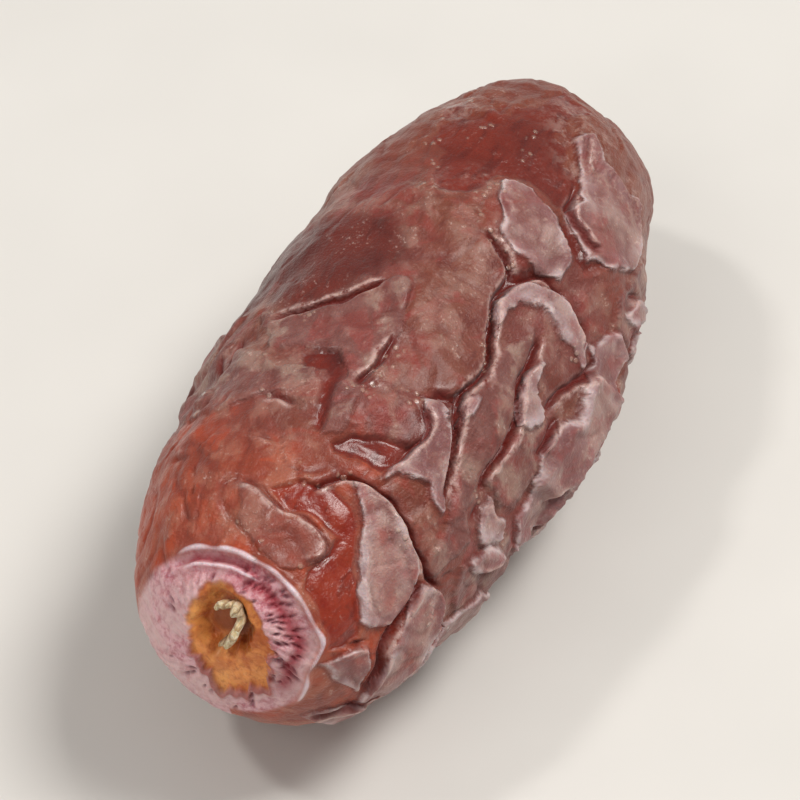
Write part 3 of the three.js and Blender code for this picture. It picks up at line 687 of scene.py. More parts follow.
# %% Outlines of the plain brownish plates, given the same way
PLAIN_PLATES = [
    (0.1, [(21.6, -40), (21.4, -24), (22.8, -10), (24.4, -4), (26, 0), (25, 6), (21, 13),
           (17.6, 14), (16, 10), (13, 13), (12.2, 6), (14.6, 3), (17.5, 2), (19, -4),
           (18.4, -28)]),
    (0.1, [(19, -42), (17, -19), (17, -6), (15.8, -4), (14.3, -20), (12.7, -36), (13, -51),
           (16.3, -46)]),
    (0.1, [(17.8, 54), (16.2, 56), (14.7, 63), (14, 72), (12, 71), (10, 70), (10, 64),
           (12.7, 60), (14.8, 56)]),
    (0.08, [(18.6, 42), (20.1, 40), (21.6, 40.5), (24, 43), (27, 43), (28.6, 46), (26, 50),
            (24, 52), (22, 55), (20.4, 58), (18, 58.5), (16.8, 59), (14.6, 63), (13.4, 60.5),
            (15.4, 54.5), (17.2, 48.5)]),
    (0.1, [(23.5, 55), (24.6, 60.5), (24.1, 66), (25.6, 74), (21.6, 77), (18.4, 79),
           (17.6, 68), (17.4, 61), (19.5, 60.5), (21.3, 60), (22.6, 57)]),
    (0.09, [(17.8, 82), (16.4, 87), (14.6, 80), (12.6, 77), (11.5, 84), (11.7, 95),
            (13.6, 103), (17, 106), (18.6, 98), (18.1, 89)]),
    (0.06, [(7.3, -13), (6.7, -2), (5.8, 10), (6.3, 23), (6.4, 32), (5.5, 34), (3.6, 29),
            (2.9, 18), (3.5, 4), (4.8, -8)]),
]

# %% Outlines of the bare patches and of the dark one, which is partly dark red-brown skin and partly painted shade
BARE_PATCHES = [
    # the gap over the tongue, the wedge round the flap and the red beside the flap
    (-0.16, [(18.3, 24), (18.8, 29), (20, 34), (21.7, 39), (23.2, 40), (22.9, 44), (21.7, 44),
             (20.2, 41), (18.8, 40), (17.3, 44), (18.2, 40), (18.8, 35), (18.6, 28)]),
    (-0.14, [(31, 29), (32.3, 33), (32.5, 43), (32.4, 53), (31.9, 69), (31.3, 63), (31.7, 52),
             (31.5, 42), (30.5, 36), (29.2, 32), (28, 32), (25.2, 38), (23.2, 41), (24.2, 36),
             (27.4, 30), (29.3, 29.5)]),
    (-0.08, [(31.7, 70), (34, 75), (33, 87), (32.1, 89), (30.5, 78), (29.7, 72)]),
    # the tip and the line between its plates
    (-0.06, [(42.8, -26), (42.3, -4), (44.8, -2), (48.8, 6), (47.5, 20), (43.8, 23), (41, 33),
             (39.3, 39), (37.2, 34), (37.7, 26), (38, 18), (37.5, 8), (34.7, 4), (34, -6),
             (36.8, -16)]),
    (-0.12, [(36.1, 34), (37.3, 34), (36.4, 43), (36, 52), (37.2, 57), (36, 58), (35, 51),
             (35.2, 43)]),
    # the bent red patch on the top, the one below the tongue, and the red of the scar end
    (-0.1, [(18.2, -15), (19, -4), (17.5, 2), (14.9, 4), (12.5, 6), (12.8, 2), (15.2, -1),
            (17, -4), (16.9, -10)]),
    (-0.12, [(12.2, 10), (14.9, 24), (15.3, 30), (15.4, 34), (13.8, 32), (12.5, 30),
             (12.2, 21), (11.6, 12)]),
    (-0.1, [(8.6, 8), (9.5, 19), (9, 29), (8, 36), (6.3, 42), (4.8, 56), (4, 68), (2.8, 75),
            (1.9, 72), (2.4, 49), (2.7, 34), (3.6, 30), (5.7, 34), (6.9, 32), (7.1, 22),
            (6.7, 9), (7.5, -2)]),
]
DARK_SKIN_AND_SHADE_PATCHES = [
    (0, [(29.7, -51), (31.1, -36), (31.2, -12), (27.7, 0), (26.1, -6), (23.5, -15),
         (21.4, -28), (22.8, -44), (26.6, -50)]),
]
MM_PER_DEGREE = 0.19
EDGE_SHAKE = 0.13
EDGE_RISE = (-0.1, 0.12)
STEP_SHARE = 1.5
EDGE_CURL = 0.55
CURL_PLACE = (0.3, 0.35)
COPIED_FROM = 8
DEEPEST = 2
OUTLINE_MARGIN = 3

# %% How deep a place lies in an outline


def depth_inside(mm, degrees, corners):
    """Distance to an outline, in mm, positive inside: the nearest edge, and a ray's count."""
    corners = np.asarray(corners, float)
    middle = corners[:, 1].mean()
    x, y = mm, turn_between(middle, degrees) * MM_PER_DEGREE
    corner_x, corner_y = corners[:, 0], (corners[:, 1] - middle) * MM_PER_DEGREE
    nearest_edge = np.full(x.shape, FAR_OFF)
    inside = np.zeros(x.shape, bool)
    close = np.abs(x - corner_x.mean()) < np.ptp(corner_x) + OUTLINE_MARGIN
    close &= np.abs(y - corner_y.mean()) < np.ptp(corner_y) + OUTLINE_MARGIN
    close = np.flatnonzero(close)
    for i in range(len(corners)):
        ax, ay = corner_x[i - 1], corner_y[i - 1]
        wide, tall = corner_x[i] - ax, corner_y[i] - ay
        px, py = x[close] - ax, y[close] - ay
        share = np.clip((px * wide + py * tall) / (wide**2 + tall**2), 0, 1)
        gap = np.hypot(px - share * wide, py - share * tall)
        nearest_edge[close] = np.minimum(nearest_edge[close], gap)
        if tall:
            inside[close] ^= ((py < 0) != (py < tall)) & (px < py / tall * wide)
    return np.where(inside, nearest_edge, -nearest_edge)


# %% The step that the patches make


def patch_fields(mm, degrees, outlines, shaken):
    """Depth inside the patches and their far copies, and the step that they make.

    The step rises over the edge and is highest just inside it, where a plate curls up.
    """
    depth, step = np.full(mm.shape, -FAR_OFF), np.zeros(mm.shape)
    for rise, corners in outlines:
        laid = [corners]
        if min(at for at, _ in corners) > COPIED_FROM:
            laid += [[far_place(copy, *corner) for corner in corners] for copy in FAR_COPIES]
        for outline in laid:
            inside = depth_inside(mm, degrees, outline) + shaken
            depth = np.maximum(depth, inside)
            curl = 1 + EDGE_CURL * bell((inside - CURL_PLACE[0]) / CURL_PLACE[1])
            step += STEP_SHARE * rise * curl * smooth(*EDGE_RISE, inside)
    return np.clip(depth, -DEEPEST, DEEPEST), step


# %% [markdown]
# Small beads of dried syrup stand along some lips and on the tip. They are finer than the
# grid of the skin, so the mesh keeps only the zones where they stand, and the material adds
# the bumps themselves.

# %% Zones of beads: mm and degrees
BEAD_REACH = 0.75
BEADS = [
    (23.8, 38.5), (24.5, 36.5), (25.1, 35), (25.9, 32.5), (26.8, 31.5), (27.9, 29.5),
    (31, 28), (32.1, 18), (32, 22), (17.6, 12), (18.6, 12.5), (19.7, 12.5), (20.7, 12),
    (16.7, 12), (18.1, 25), (9.9, 8), (8.8, 10), (18.1, -27), (13.5, -46), (14, -18),
    (16.6, 6), (29.9, 64), (8.6, 82), (16.5, 64), (9.9, 45), (9.8, 50), (44.7, -24),
    (41.5, -24), (39.8, -13), (39.3, -22), (36.8, -15), (34.2, -10), (33.2, 10), (34.6, 6),
    (35.8, 11), (41.5, -8), (42.2, 8), (40, 12), (11.4, 104), (21.1, -21), (5.9, 32),
    (4.9, 32), (3.8, 28), (3.2, 26), (3.4, 5), (4.3, -7), (8.7, 16), (10.7, 20), (23.1, 19),
]


def bead_field(mm, degrees):
    """0 to 1 near the beads and their far copies: a bell of the distance to the nearest."""
    total = np.zeros(mm.shape)
    for place in BEADS:
        spots = [place]
        if place[0] > COPIED_FROM:
            spots += [far_place(copy, *place) for copy in FAR_COPIES]
        for at_mm, at_degrees in spots:
            round_mm = turn_between(at_degrees, degrees) * MM_PER_DEGREE
            away = np.hypot(mm - at_mm, round_mm) / BEAD_REACH
            total = np.maximum(total, bell(away))
    return total


print(len(BEADS), "zones of beads")

# %% [markdown]
# ## The grid of the skin
# The fruit is one closed surface: rings of equally many points from pole to pole, and a fan
# at each end. Rings stand closer at the scar. Each point of the grid is also drawn towards the
# nearest crease, which gives the creases more rings and columns than the plain skin.

# %% Rings and columns
RINGS = 300
COLUMNS = 316
SCAR_ROW_SHARE = 1.2
SCAR_ROW_REACH = 12.0
DRAW_IN = 0.58
DRAW_IN_REACH = 1.1
SNAP = 0.1
WOBBLE = 0.09


def ring_places(count):
    """mm from the scar for each ring: equal steps along the skin, closer at the scar."""
    fine = np.linspace(0, math.pi, 6001)
    mm = LENGTH * (1 - np.cos(fine)) / 2
    steps = np.hypot(np.diff(mm), HALF_WIDTH * np.diff(girth(mm)))
    plain = np.concatenate([[0], np.cumsum(steps)])
    closer = 1 + SCAR_ROW_SHARE * bell(plain[:-1] / SCAR_ROW_REACH)
    run = np.concatenate([[0], np.cumsum(steps * closer)])
    return np.interp(np.linspace(0, run[-1], count + 2)[1:-1], run, mm)


ring_mm = np.repeat(ring_places(RINGS), COLUMNS)
ring_degrees = np.tile(np.arange(COLUMNS) * 360 / COLUMNS, RINGS)
all_mm = np.concatenate([[0.0], ring_mm, [LENGTH]])
all_degrees = np.concatenate([[0.0], ring_degrees, [0.0]])
smooth_skin = skin(all_mm, all_degrees)
print("grid of", len(all_mm), "points")

# %% Draw the grid in towards the creases
wobble = WOBBLE * shake_all_ways(smooth_skin, 60, 7, 0.9, 3.4)
first_look = fold_fields(smooth_skin + wobble, big_creases)
draw_in = DRAW_IN * bell(first_look["distance"] / DRAW_IN_REACH)
draw_in = np.where(first_look["distance"] < SNAP, 1, draw_in)
draw_in *= smooth(0.03, 0.2, first_look["strength"])
drawn_skin = smooth_skin - first_look["pull"] * draw_in[:, None]
big = fold_fields(drawn_skin + wobble, big_creases)
small = fold_fields(drawn_skin + wobble, small_creases)
print((big["distance"] < 2 * SNAP).sum(), "points lie in or close beside a crease")

# %% The mark at the tip, where the flower was
TIP_DIMPLE = 0.28
TIP_DIMPLE_RADIUS = 1.1
TIP_RIM = 0.16
TIP_RIM_WIDTH = 0.5
TIP_POINT = 0.3
TIP_POINT_RADIUS = 0.22
from_tip = np.where(all_mm > LENGTH / 2, HALF_WIDTH * girth(all_mm), FAR_OFF)
tip_mark = bell(from_tip / (0.6 * TIP_DIMPLE_RADIUS))
tip_rim = bell((from_tip - 1.3 * TIP_DIMPLE_RADIUS) / TIP_RIM_WIDTH)
tip_relief = TIP_RIM * tip_rim - TIP_DIMPLE * tip_mark
tip_relief = tip_relief + TIP_POINT * bell(from_tip / TIP_POINT_RADIUS)

# %% Patches, beads and the scar on the grid
edge_shake = EDGE_SHAKE * shake(smooth_skin, 88, 12, 0.9, 3.2)
outlines = {"pale": PALE_PLATES, "plain": PLAIN_PLATES, "bare": BARE_PATCHES, "dark": DARK_SKIN_AND_SHADE_PATCHES}
inside, steps = {}, 0
for kind, patches in outlines.items():
    inside[kind], step = patch_fields(all_mm, all_degrees, patches, edge_shake)
    steps = steps + step
beads = bead_field(all_mm, all_degrees)
scar = scar_fields(all_mm, all_degrees)
pits = band_pits(scar)
rays = np.sin(RAY_TURNS * scar["around"] + 3 * np.sin(8 * scar["in_disc"])) * scar["band"]
print("the plates step up by as much as", steps.max().round(2), "mm")

# %% [markdown]
# Between the folds the skin is crumpled too: soft lumps, and furrows that run where a drawn
# wavy number passes through zero. Where a patch lies close to the flesh, it is smoother.

# %% Furrows: seed, shortest and longest wave, width and depth
FURROWS = ((71, 3.2, 7.5, 0.22, 0.1), (72, 1.4, 3.2, 0.3, 0.035))
CRUMPLE = 0.07
CRUMPLE_WAVES = (1.6, 4.5)
WARP = 0.9

warped = smooth_skin + WARP * shake_all_ways(smooth_skin, 90, 5, 3, 7)
furrows = sum(
    bell(shake(warped, seed, 12, shortest, longest) / width) * depth
    for seed, shortest, longest, width, depth in FURROWS)
crumple = CRUMPLE * shake(smooth_skin, 73, 12, *CRUMPLE_WAVES) - furrows
loose = 1 - 0.75 * smooth(-0.3, 0.5, inside["bare"]) - 0.35 * smooth(-0.2, 0.4, inside["pale"])

# %% Heights: nothing but the scar near the pole, and a calm spot where the fruit rests
REST_EDGE = (0.75, 1.3)
SCAR_CLEARED = (1.2, 3)
from_rest = np.hypot(
    (all_mm - REST_PLACE[0]) / REST_REACH[0],
    turn_between(REST_PLACE[1], all_degrees) / REST_REACH[1],
)
free = smooth(*REST_EDGE, from_rest) * smooth(*SCAR_CLEARED, all_mm)
relief = big["lip"] - big["deep"] - big["hollow"] + (small["lip"] - small["deep"]) * loose
relief = relief + steps + slow_waves(all_mm, all_degrees) + crumple * loose + tip_relief
height = free * relief + scar["height"] - BAND_PIT_DEPTH * pits + RAY_HEIGHT * rays
raw = drawn_skin + outward(all_mm, all_degrees) * height[:, None]

# %% [markdown]
# Where the grid was drawn in, its steps are uneven, and a steep lip can pinch. Moving each
# point beside a crease towards the middle of its four neighbours evens them out. The finished
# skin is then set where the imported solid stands, with the same small flat spot to rest on.

# %% Relax the skin beside the creases
RELAX_PASSES = 2
RELAX_SHARE = 0.6
RELAX_REACH = 0.45


def relax(points, share):
    """Moves each point of the grid a share of the way to the middle of its neighbours."""
    rings = points[1:-1].reshape(RINGS, COLUMNS, 3)
    share = share[1:-1].reshape(RINGS, COLUMNS, 1)
    before = np.concatenate([points[:1].repeat(COLUMNS, 0)[None], rings[:-1]])
    after = np.concatenate([rings[1:], points[-1:].repeat(COLUMNS, 0)[None]])
    middle = (before + after + np.roll(rings, 1, 1) + np.roll(rings, -1, 1)) / 4
    moved = rings + share * (middle - rings)
    return np.concatenate([points[:1], moved.reshape(-1, 3), points[-1:]])


beside = RELAX_SHARE * bell(big["distance"] / RELAX_REACH)
for _ in range(RELAX_PASSES):
    raw = relax(raw, beside)

# %% Set the skin down where the solid is
low, high = (np.array(corner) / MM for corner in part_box("fruit"))
floor_z = raw[:, 2].min() + REST_DEPTH
raw[:, 2] = np.maximum(raw[:, 2], floor_z)
place = (low + high) / 2 - (raw.min(0) + raw.max(0)) / 2
place[2] = low[2] - floor_z
print("the smooth skin's own origin lies at", place.round(2), "mm")

# %% [markdown]
# Blender takes a mesh as a list of points and a list of faces. Both are whole arrays here.
# The object itself stays at the origin, and its place is in its points.

# %% Make a mesh from arrays


def mesh_from_arrays(name, points, faces):
    """A new object at the origin from points in mm and an array of faces."""
    mesh = bpy.data.meshes.new(name)
    mesh.from_pydata((points * MM).tolist(), [], faces.tolist())
    mesh.polygons.foreach_set("use_smooth", np.ones(len(faces), bool))
    mesh.update()
    made = bpy.data.objects.new(name, mesh)
    bpy.context.scene.collection.objects.link(made)
    return made


def paint(made, name, values):
    """Keeps one number for each point in an attribute that a material can read."""
    layer = made.data.attributes.new(name, "FLOAT", "POINT")
    layer.data.foreach_set("value", np.asarray(values, np.float32))


# %% Triangles of a closed grid


def closed_grid(rings, columns):
    """Triangles of a closed grid: rings of columns between a first and a last pole."""
    ring, column = np.meshgrid(np.arange(rings), np.arange(columns), indexing="ij")
    a = 1 + ring * columns + column
    b = 1 + ring * columns + (column + 1) % columns
    c, d = a + columns, b + columns
    quads = np.stack([a, b, d, a, d, c], -1)[:-1].reshape(-1, 3)
    last = 1 + rings * columns
    first_fan = np.stack([np.zeros_like(a[0]), b[0], a[0]], -1)
    last_fan = np.stack([np.full_like(a[0], last), a[-1], b[-1]], -1)
    return np.vstack([first_fan, quads, last_fan])


# %% Add the skin
fruit_skin = mesh_from_arrays("fruit_skin", raw + place, closed_grid(RINGS, COLUMNS))
print("fruit_skin has", len(fruit_skin.data.polygons), "triangles")

# %% [markdown]
# The finish follows the shape, so the mesh carries what the shape knows: one number for each
# point, such as how deep it lies in a plate or how far it is from a crease.

# %% Numbers that the finish reads
GLOW = (7.0, -74.0, 3.0, 24.0)
ORANGE_ENDS = (6.5, 17)
TIP_BEGINS = (31, 43)
END_WAVES = (6, 4, 9)
PIT_FLOOR = (0.55, 0.95)

turned = turn_between(0, all_degrees)
front = smooth(30, 62, turned) * (1 - smooth(120, 150, turned)) * smooth(8.5, 10.5, all_mm)
orange_end = 1 - smooth(*ORANGE_ENDS, all_mm + 1.8 * shake(smooth_skin, 81, *END_WAVES))
tip_end = smooth(*TIP_BEGINS, all_mm + 2 * shake(smooth_skin, 82, *END_WAVES))
painted = {
    "orange": orange_end * (1 - 0.8 * front), "tip": tip_end, "tip_mark": tip_mark,
    "glow": patch(all_mm, all_degrees, GLOW), "bead_zone": beads, "furrow": furrows,
    "crease_distance": big["distance"], "crease_strength": big["strength"],
    "lip_strength": big["lip_side"], "scar_disc": scar["disc"], "scar_band": scar["band"],
    "scar_ridge": scar["ridge"], "scar_groove": scar["groove"], "disc_rim": scar["rim"],
    "scar_pit": scar["pit"] * (1 - smooth(*PIT_FLOOR, scar["in_pit"])), "band_pit": pits,
}
painted.update({kind + "_in": depth for kind, depth in inside.items()})
for name, values in painted.items():
    paint(fruit_skin, name, values)
print("painted", ", ".join(painted))
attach(fruit_skin, "root")
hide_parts("fruit")

# %% [markdown]
# ## The torn fibre
# A little of the stalk's fibre is left in the pit: a curled strip, open on one side, whose
# top edge is ragged. It is a bar-shaped section carried round the pit. Fine ridges run up it,
# as in any plant fibre. Its measures are the solid's own.

# %% Measures of the fibre strip
FIBRE_GAP = 0.36
FIBRE_FOOT_GAP = 0.16
FIBRE_HALF_THICKNESS = 0.3
FIBRE_ARC = (-75, 150)
FIBRE_STANDS_OUT = 0.55
FIBRE_RAGGED = 0.3
FIBRE_RAGGED_TURNS = (5.3, 9.1)
FIBRE_RAGGED_SHARE = 0.6
FIBRE_END_SLIMNESS = 0.35
FIBRE_SPLAY = 0.22
BAR_SQUARENESS = 0.6
FIBRE_RINGS = 220
FIBRE_COLUMNS = 96
MEAN_RADIUS = 1.6
TEAR_HEIGHT = 0.24
STRAND_DEPTH = 0.2
STRAND_BULGE = 0.74

# %% Where the pit opens


def pit_mouth():
    """Where the pit opens on the smooth skin, and the way that it faces."""
    y, z = PIT_CENTRE
    degrees = math.degrees(math.atan2(-y, z))
    mm = np.linspace(0, 2, 4001)
    reach = np.hypot(*section(mm, degrees))
    at = mm[np.argmax(reach >= math.hypot(y, z))]
    return skin(at, degrees), outward(at, degrees)


# %% The strip as rings of a bar


def bar(value):
    """A sine or cosine made squarer, which turns a round section into a bar's."""
    return np.sign(value) * np.abs(value) ** BAR_SQUARENESS


def fibre_strip():
    """Rings of a bar-shaped section, carried round the pit: points, level and turn of each.

    The bar stands from the pit's floor to a ragged head, and its radius follows the pit's
    wall with a gap. Drawn waves round the section make the strands, and others the tears.
    """
    centre, out = pit_mouth()
    upward = np.array([0, -math.sin(LEAN), math.cos(LEAN)])
    front = unit(-np.cross(out, upward))
    top = unit(np.cross(out, front))
    floor = FIBRE_FOOT_GAP - PIT_DEPTH - DISC_SINK
    inner_rings = (1 - np.cos(np.pi * np.arange(1, FIBRE_RINGS + 1) / (FIBRE_RINGS + 1))) / 2
    share = np.concatenate([[0], np.repeat(inner_rings, FIBRE_COLUMNS), [1]])
    ring_angles = np.arange(FIBRE_COLUMNS) * 2 * np.pi / FIBRE_COLUMNS
    angle = np.concatenate([[0], np.tile(ring_angles, FIBRE_RINGS), [0]])
    first, last = (math.radians(a) for a in FIBRE_ARC)
    around = first + (last - first) * share
    slim = np.sin(np.pi * share) ** FIBRE_END_SLIMNESS
    slow, quick = FIBRE_RAGGED_TURNS
    wave = np.sin(slow * around) + FIBRE_RAGGED_SHARE * np.sin(quick * around + 1)
    beat = np.stack([around * MEAN_RADIUS, around * 0, around * 0], -1)
    tears = TEAR_HEIGHT * shake(beat, 51, 7, 0.45, 1.6) - 0.1
    head = (FIBRE_STANDS_OUT + FIBRE_RAGGED * wave + tears) * slim
    half_height = (head - floor) / 2
    bundle = np.stack([around * MEAN_RADIUS, 0.25 * np.sin(angle), 0.3 * np.cos(angle)], -1)
    strands = STRAND_BULGE + STRAND_DEPTH * shake(bundle, 52, 9, 0.35, 1.2)
    half = FIBRE_HALF_THICKNESS
    inward = half * (1 + slim * bar(np.cos(angle)) * strands) + FIBRE_GAP
    level = floor + half_height - half_height * slim * bar(np.sin(angle))
    width = PIT_HALF_WIDTH * PIT_WALL[0] - inward
    tall = PIT_HALF_HEIGHT * PIT_WALL[0] - inward
    splay = 1 + FIBRE_SPLAY * (level - floor)
    level = level + 0.08 * slim * shake(bundle, 53, 9, 0.3, 0.9)
    points = centre + level[:, None] * out
    points = points + (tall * splay * np.cos(around))[:, None] * top
    return points + (width * splay * np.sin(around))[:, None] * front, level, around


# %% Add the fibre
strip_points, strip_level, strip_around = fibre_strip()
stalk_fibre = mesh_from_arrays(
    "stalk_fibre_strip", strip_points + place, closed_grid(FIBRE_RINGS, FIBRE_COLUMNS)[:, ::-1])
paint(stalk_fibre, "level", strip_level)
paint(stalk_fibre, "around", strip_around)
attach(stalk_fibre, "root")
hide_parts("stalk_fibre")
print("stalk_fibre_strip has", len(stalk_fibre.data.polygons), "triangles")

# %% [markdown]
# ## Writing materials as sums
# A material is a small graph of nodes. To keep it readable, one class wraps a socket so that
# plain Python sums add the Math nodes, and one method adds any other node. A colour is laid
# in coats, as a painter would: a ground, and then each coat with the share that it covers.

# %% A screen colour for a shader


def colour(red, green, blue):
    """A screen colour from 0 to 255 as the linear colour that a shader takes."""
    share = np.array([red, green, blue]) / 255
    linear = np.where(share <= 0.04045, share / 12.92, ((share + 0.055) / 1.055) ** 2.4)
    return (*linear.tolist(), 1.0)


# %% A number in a material


class Value:
    """A number socket that can be added and multiplied in plain expressions."""

    def __init__(self, bench, socket):
        self.bench, self.socket = bench, socket

    def _math(self, operation, *others):
        made = self.bench.node("ShaderNodeMath", {"operation": operation}, [self, *others])
        return Value(self.bench, made.outputs[0])

    def __add__(self, other): return self._math("ADD", other)
    def __radd__(self, other): return self._math("ADD", other)
    def __mul__(self, other): return self._math("MULTIPLY", other)
    def __rmul__(self, other): return self._math("MULTIPLY", other)
    def __sub__(self, other): return self._math("SUBTRACT", other)
    def __rsub__(self, other): return (self * -1)._math("ADD", other)
    def over(self, other): return self._math("MAXIMUM", other)
    def sine(self): return self._math("SINE")
    def clamp(self): return self.over(0.0)._math("MINIMUM", 1.0)

    def bell(self, place, width):
        """1 at a place and falling to nothing by about two widths from it."""
        away = (self - place)._math("DIVIDE", width)
        return (away * away * -1)._math("EXPONENT")

    def ramp(self, low, high):
        """0 at low, 1 at high, S-shaped between; low may be the larger."""
        made = self.bench.node("ShaderNodeMapRange", {"interpolation_type": "SMOOTHSTEP"},
                               {"Value": self, "From Min": low, "From Max": high})
        return Value(self.bench, made.outputs["Result"])


# %% A material under construction


class Bench:
    """A material under construction."""

    def __init__(self, name):
        self.material = bpy.data.materials.new(name)
        self.material.use_nodes = True
        self.tree = self.material.node_tree
        self.tree.nodes.clear()
        where = self.node("ShaderNodeTexCoord").outputs["Object"]
        scaled = self.node("ShaderNodeVectorMath", {"operation": "SCALE"},
                           {"Vector": where, "Scale": 1 / MM})
        self.places = scaled.outputs["Vector"]

    def node(self, kind, settings=None, inputs=None):
        """A node of a type, with its settings, and then the values or links of its sockets.

        A socket is named by its number or its identifier, which most nodes also show as its
        name. A colour may be given as three screen values.
        """
        made = self.tree.nodes.new(kind)
        for key, setting in (settings or {}).items():
            setattr(made, key, setting)
        by_name = {socket.identifier: socket for socket in made.inputs}
        items = inputs.items() if isinstance(inputs, dict) else enumerate(inputs or [])
        for key, given in items:
            socket = made.inputs[key] if isinstance(key, int) else by_name[key]
            given = given.socket if isinstance(given, Value) else given
            if isinstance(given, bpy.types.NodeSocket):
                self.tree.links.new(given, socket)
            else:
                socket.default_value = colour(*given) if socket.type == "RGBA" else given
        return made

    def attribute(self, name):
        """The number that the mesh carries under this name."""
        made = self.node("ShaderNodeAttribute", {"attribute_name": name})
        return Value(self, made.outputs["Fac"])

    def stretched(self, shares):
        """Places in mm with each axis multiplied by its share, which stretches a pattern."""
        made = self.node("ShaderNodeVectorMath", {"operation": "MULTIPLY"}, [self.places, shares])
        return made.outputs["Vector"]

    def noise(self, size, detail, rough, twist=0.0, where=None):
        """Soft noise from 0 to 1 whose lumps are about size mm across."""
        made = self.node("ShaderNodeTexNoise", {}, {
            "Vector": where or self.places, "Scale": 1 / size, "Detail": detail,
            "Roughness": rough, "Distortion": twist})
        return Value(self, made.outputs["Fac"])

    def cells(self, size):
        """Distance to the middle of the nearest cell, in cells about size mm across."""
        made = self.node("ShaderNodeTexVoronoi", {}, {"Vector": self.places, "Scale": 1 / size})
        return Value(self, made.outputs["Distance"])

    def layers(self, under, *coats):
        """Colours laid one over another: each coat is the share that it covers, and a colour."""
        for share, coat in coats:
            made = self.node("ShaderNodeMix", {"data_type": "RGBA"},
                             {"Factor_Float": share, "A_Color": under, "B_Color": coat})
            under = next(s for s in made.outputs if s.identifier == "Result_Color")
        return under

    def bump(self, height, distance):
        """A normal that tilts with a height, as if the surface rose and fell by it."""
        made = self.node("ShaderNodeBump", {}, {"Height": height, "Distance": distance})
        return made.outputs["Normal"]

    def finish(self, inputs):
        """Closes the graph with a Principled BSDF that takes these inputs."""
        shader = self.node("ShaderNodeBsdfPrincipled", {}, inputs)
        self.node("ShaderNodeOutputMaterial", {}, {"Surface": shader.outputs[0]})
        return self.material


# %% [markdown]
# ## The finish of the skin
# The colour is built in layers, from the flesh that shows through close skin to the greyish loose
# plates, with dark red creases and pale lips. The dark red of the creases and furrows is painted
# shade, a painted shadow lies just outside the plate edges, painted highlights lie along them and
# on the scar's ridge, and a painted sheen lies on the tip. Masks come from the numbers on the
# mesh, and noises of several sizes fray their edges, because nothing on a fruit ends in a line.

# %% Noises of the skin, from the broadest to the finest
skin_bench = Bench("date skin")
noise, carried, layers = skin_bench.noise, skin_bench.attribute, skin_bench.layers
drift = noise(9.0, 1, 0.5)
broad = noise(4.0, 2, 0.55, 0.5)
blush = noise(3.0, 2, 0.6, 1.0).ramp(0.5, 0.62)
middling = noise(1.5, 3, 0.6, 0.5)
streak = noise(0.8, 2, 0.6, 0.4, skin_bench.stretched((0.3, 1, 1)))
fine = noise(0.45, 3, 0.65)
grain = noise(0.16, 1, 0.6)
cast = (broad * 0.55 + middling * 0.45).ramp(0.47, 0.58)

# %% Masks of the mosaic
orange, tip = carried("orange"), carried("tip")
shaken = (fine - 0.5) * 0.16 + (middling - 0.5) * 0.34
loose_tip = ((broad - 0.5) * 3.0 + (middling - 0.5) * 1.2) * tip
plate_depth = carried("pale_in")
pale = (plate_depth + shaken).ramp(-0.08, 0.12)
plain = (carried("plain_in") + shaken).ramp(-0.1, 0.15)
# the dark patch: partly dark red-brown skin, partly painted shade
dark = (carried("dark_in") + shaken).ramp(-0.6, 1.2)
bare = (carried("bare_in") * (1 - tip * 0.6) + shaken + loose_tip).ramp(-0.2, 0.25)
# the plate's rim: its pale colour is partly the pale edge of the loose skin and partly a painted
# highlight, and it also lifts the bump
plate_edge = (plate_depth + shaken).bell(0.13, 0.12) * middling.ramp(0.35, 0.6)
# painted shadow: a dark red line just outside each plate's edge, where the plate would shade the
# skin
painted_shadow_under_edge = (plate_depth + shaken).bell(-0.1, 0.1) * drift.ramp(0.3, 0.5)
# painted highlight: a lilac-white sheen a little inside the plate edges, in broad patches
painted_sheen_edge = (plate_depth + shaken).bell(0.3, 0.3) * broad.ramp(0.5, 0.62)

# %% Masks of the creases, the lips, the beads and the flesh that shows through, which beside the creases is partly painted shade
crease_distance = carried("crease_distance")
crease_strength = carried("crease_strength").ramp(0.05, 0.5)
lip_strength = carried("lip_strength").ramp(0.04, 0.36)
# the crease mask: it deepens the bump, and its dark red colour is painted shade in the crease
crease = crease_distance.bell(0.0, 0.2) * crease_strength
# the gentle side of each crease counts as close skin: its flesh red and gloss are partly close
# skin and partly painted shade beside the crease
low_side = crease_distance.bell(0.0, 0.75) * crease_strength * (1 - lip_strength * 0.7)
rim = crease_distance.bell(0.24, 0.14) * lip_strength
lip_line = crease_distance.bell(0.34, 0.18) * lip_strength * fine.ramp(0.3, 0.6)
furrow = (carried("furrow") * 9).clamp()
bead_zone = (carried("bead_zone") + middling - 0.5).ramp(0.35, 0.6)
bead = skin_bench.cells(0.55).ramp(0.42, 0.2) * bead_zone
close = bare.over(low_side * 0.85).over(orange * 0.35).over(tip * 0.3).over(dark * 0.5)
close = close * (1 - pale * 0.8)

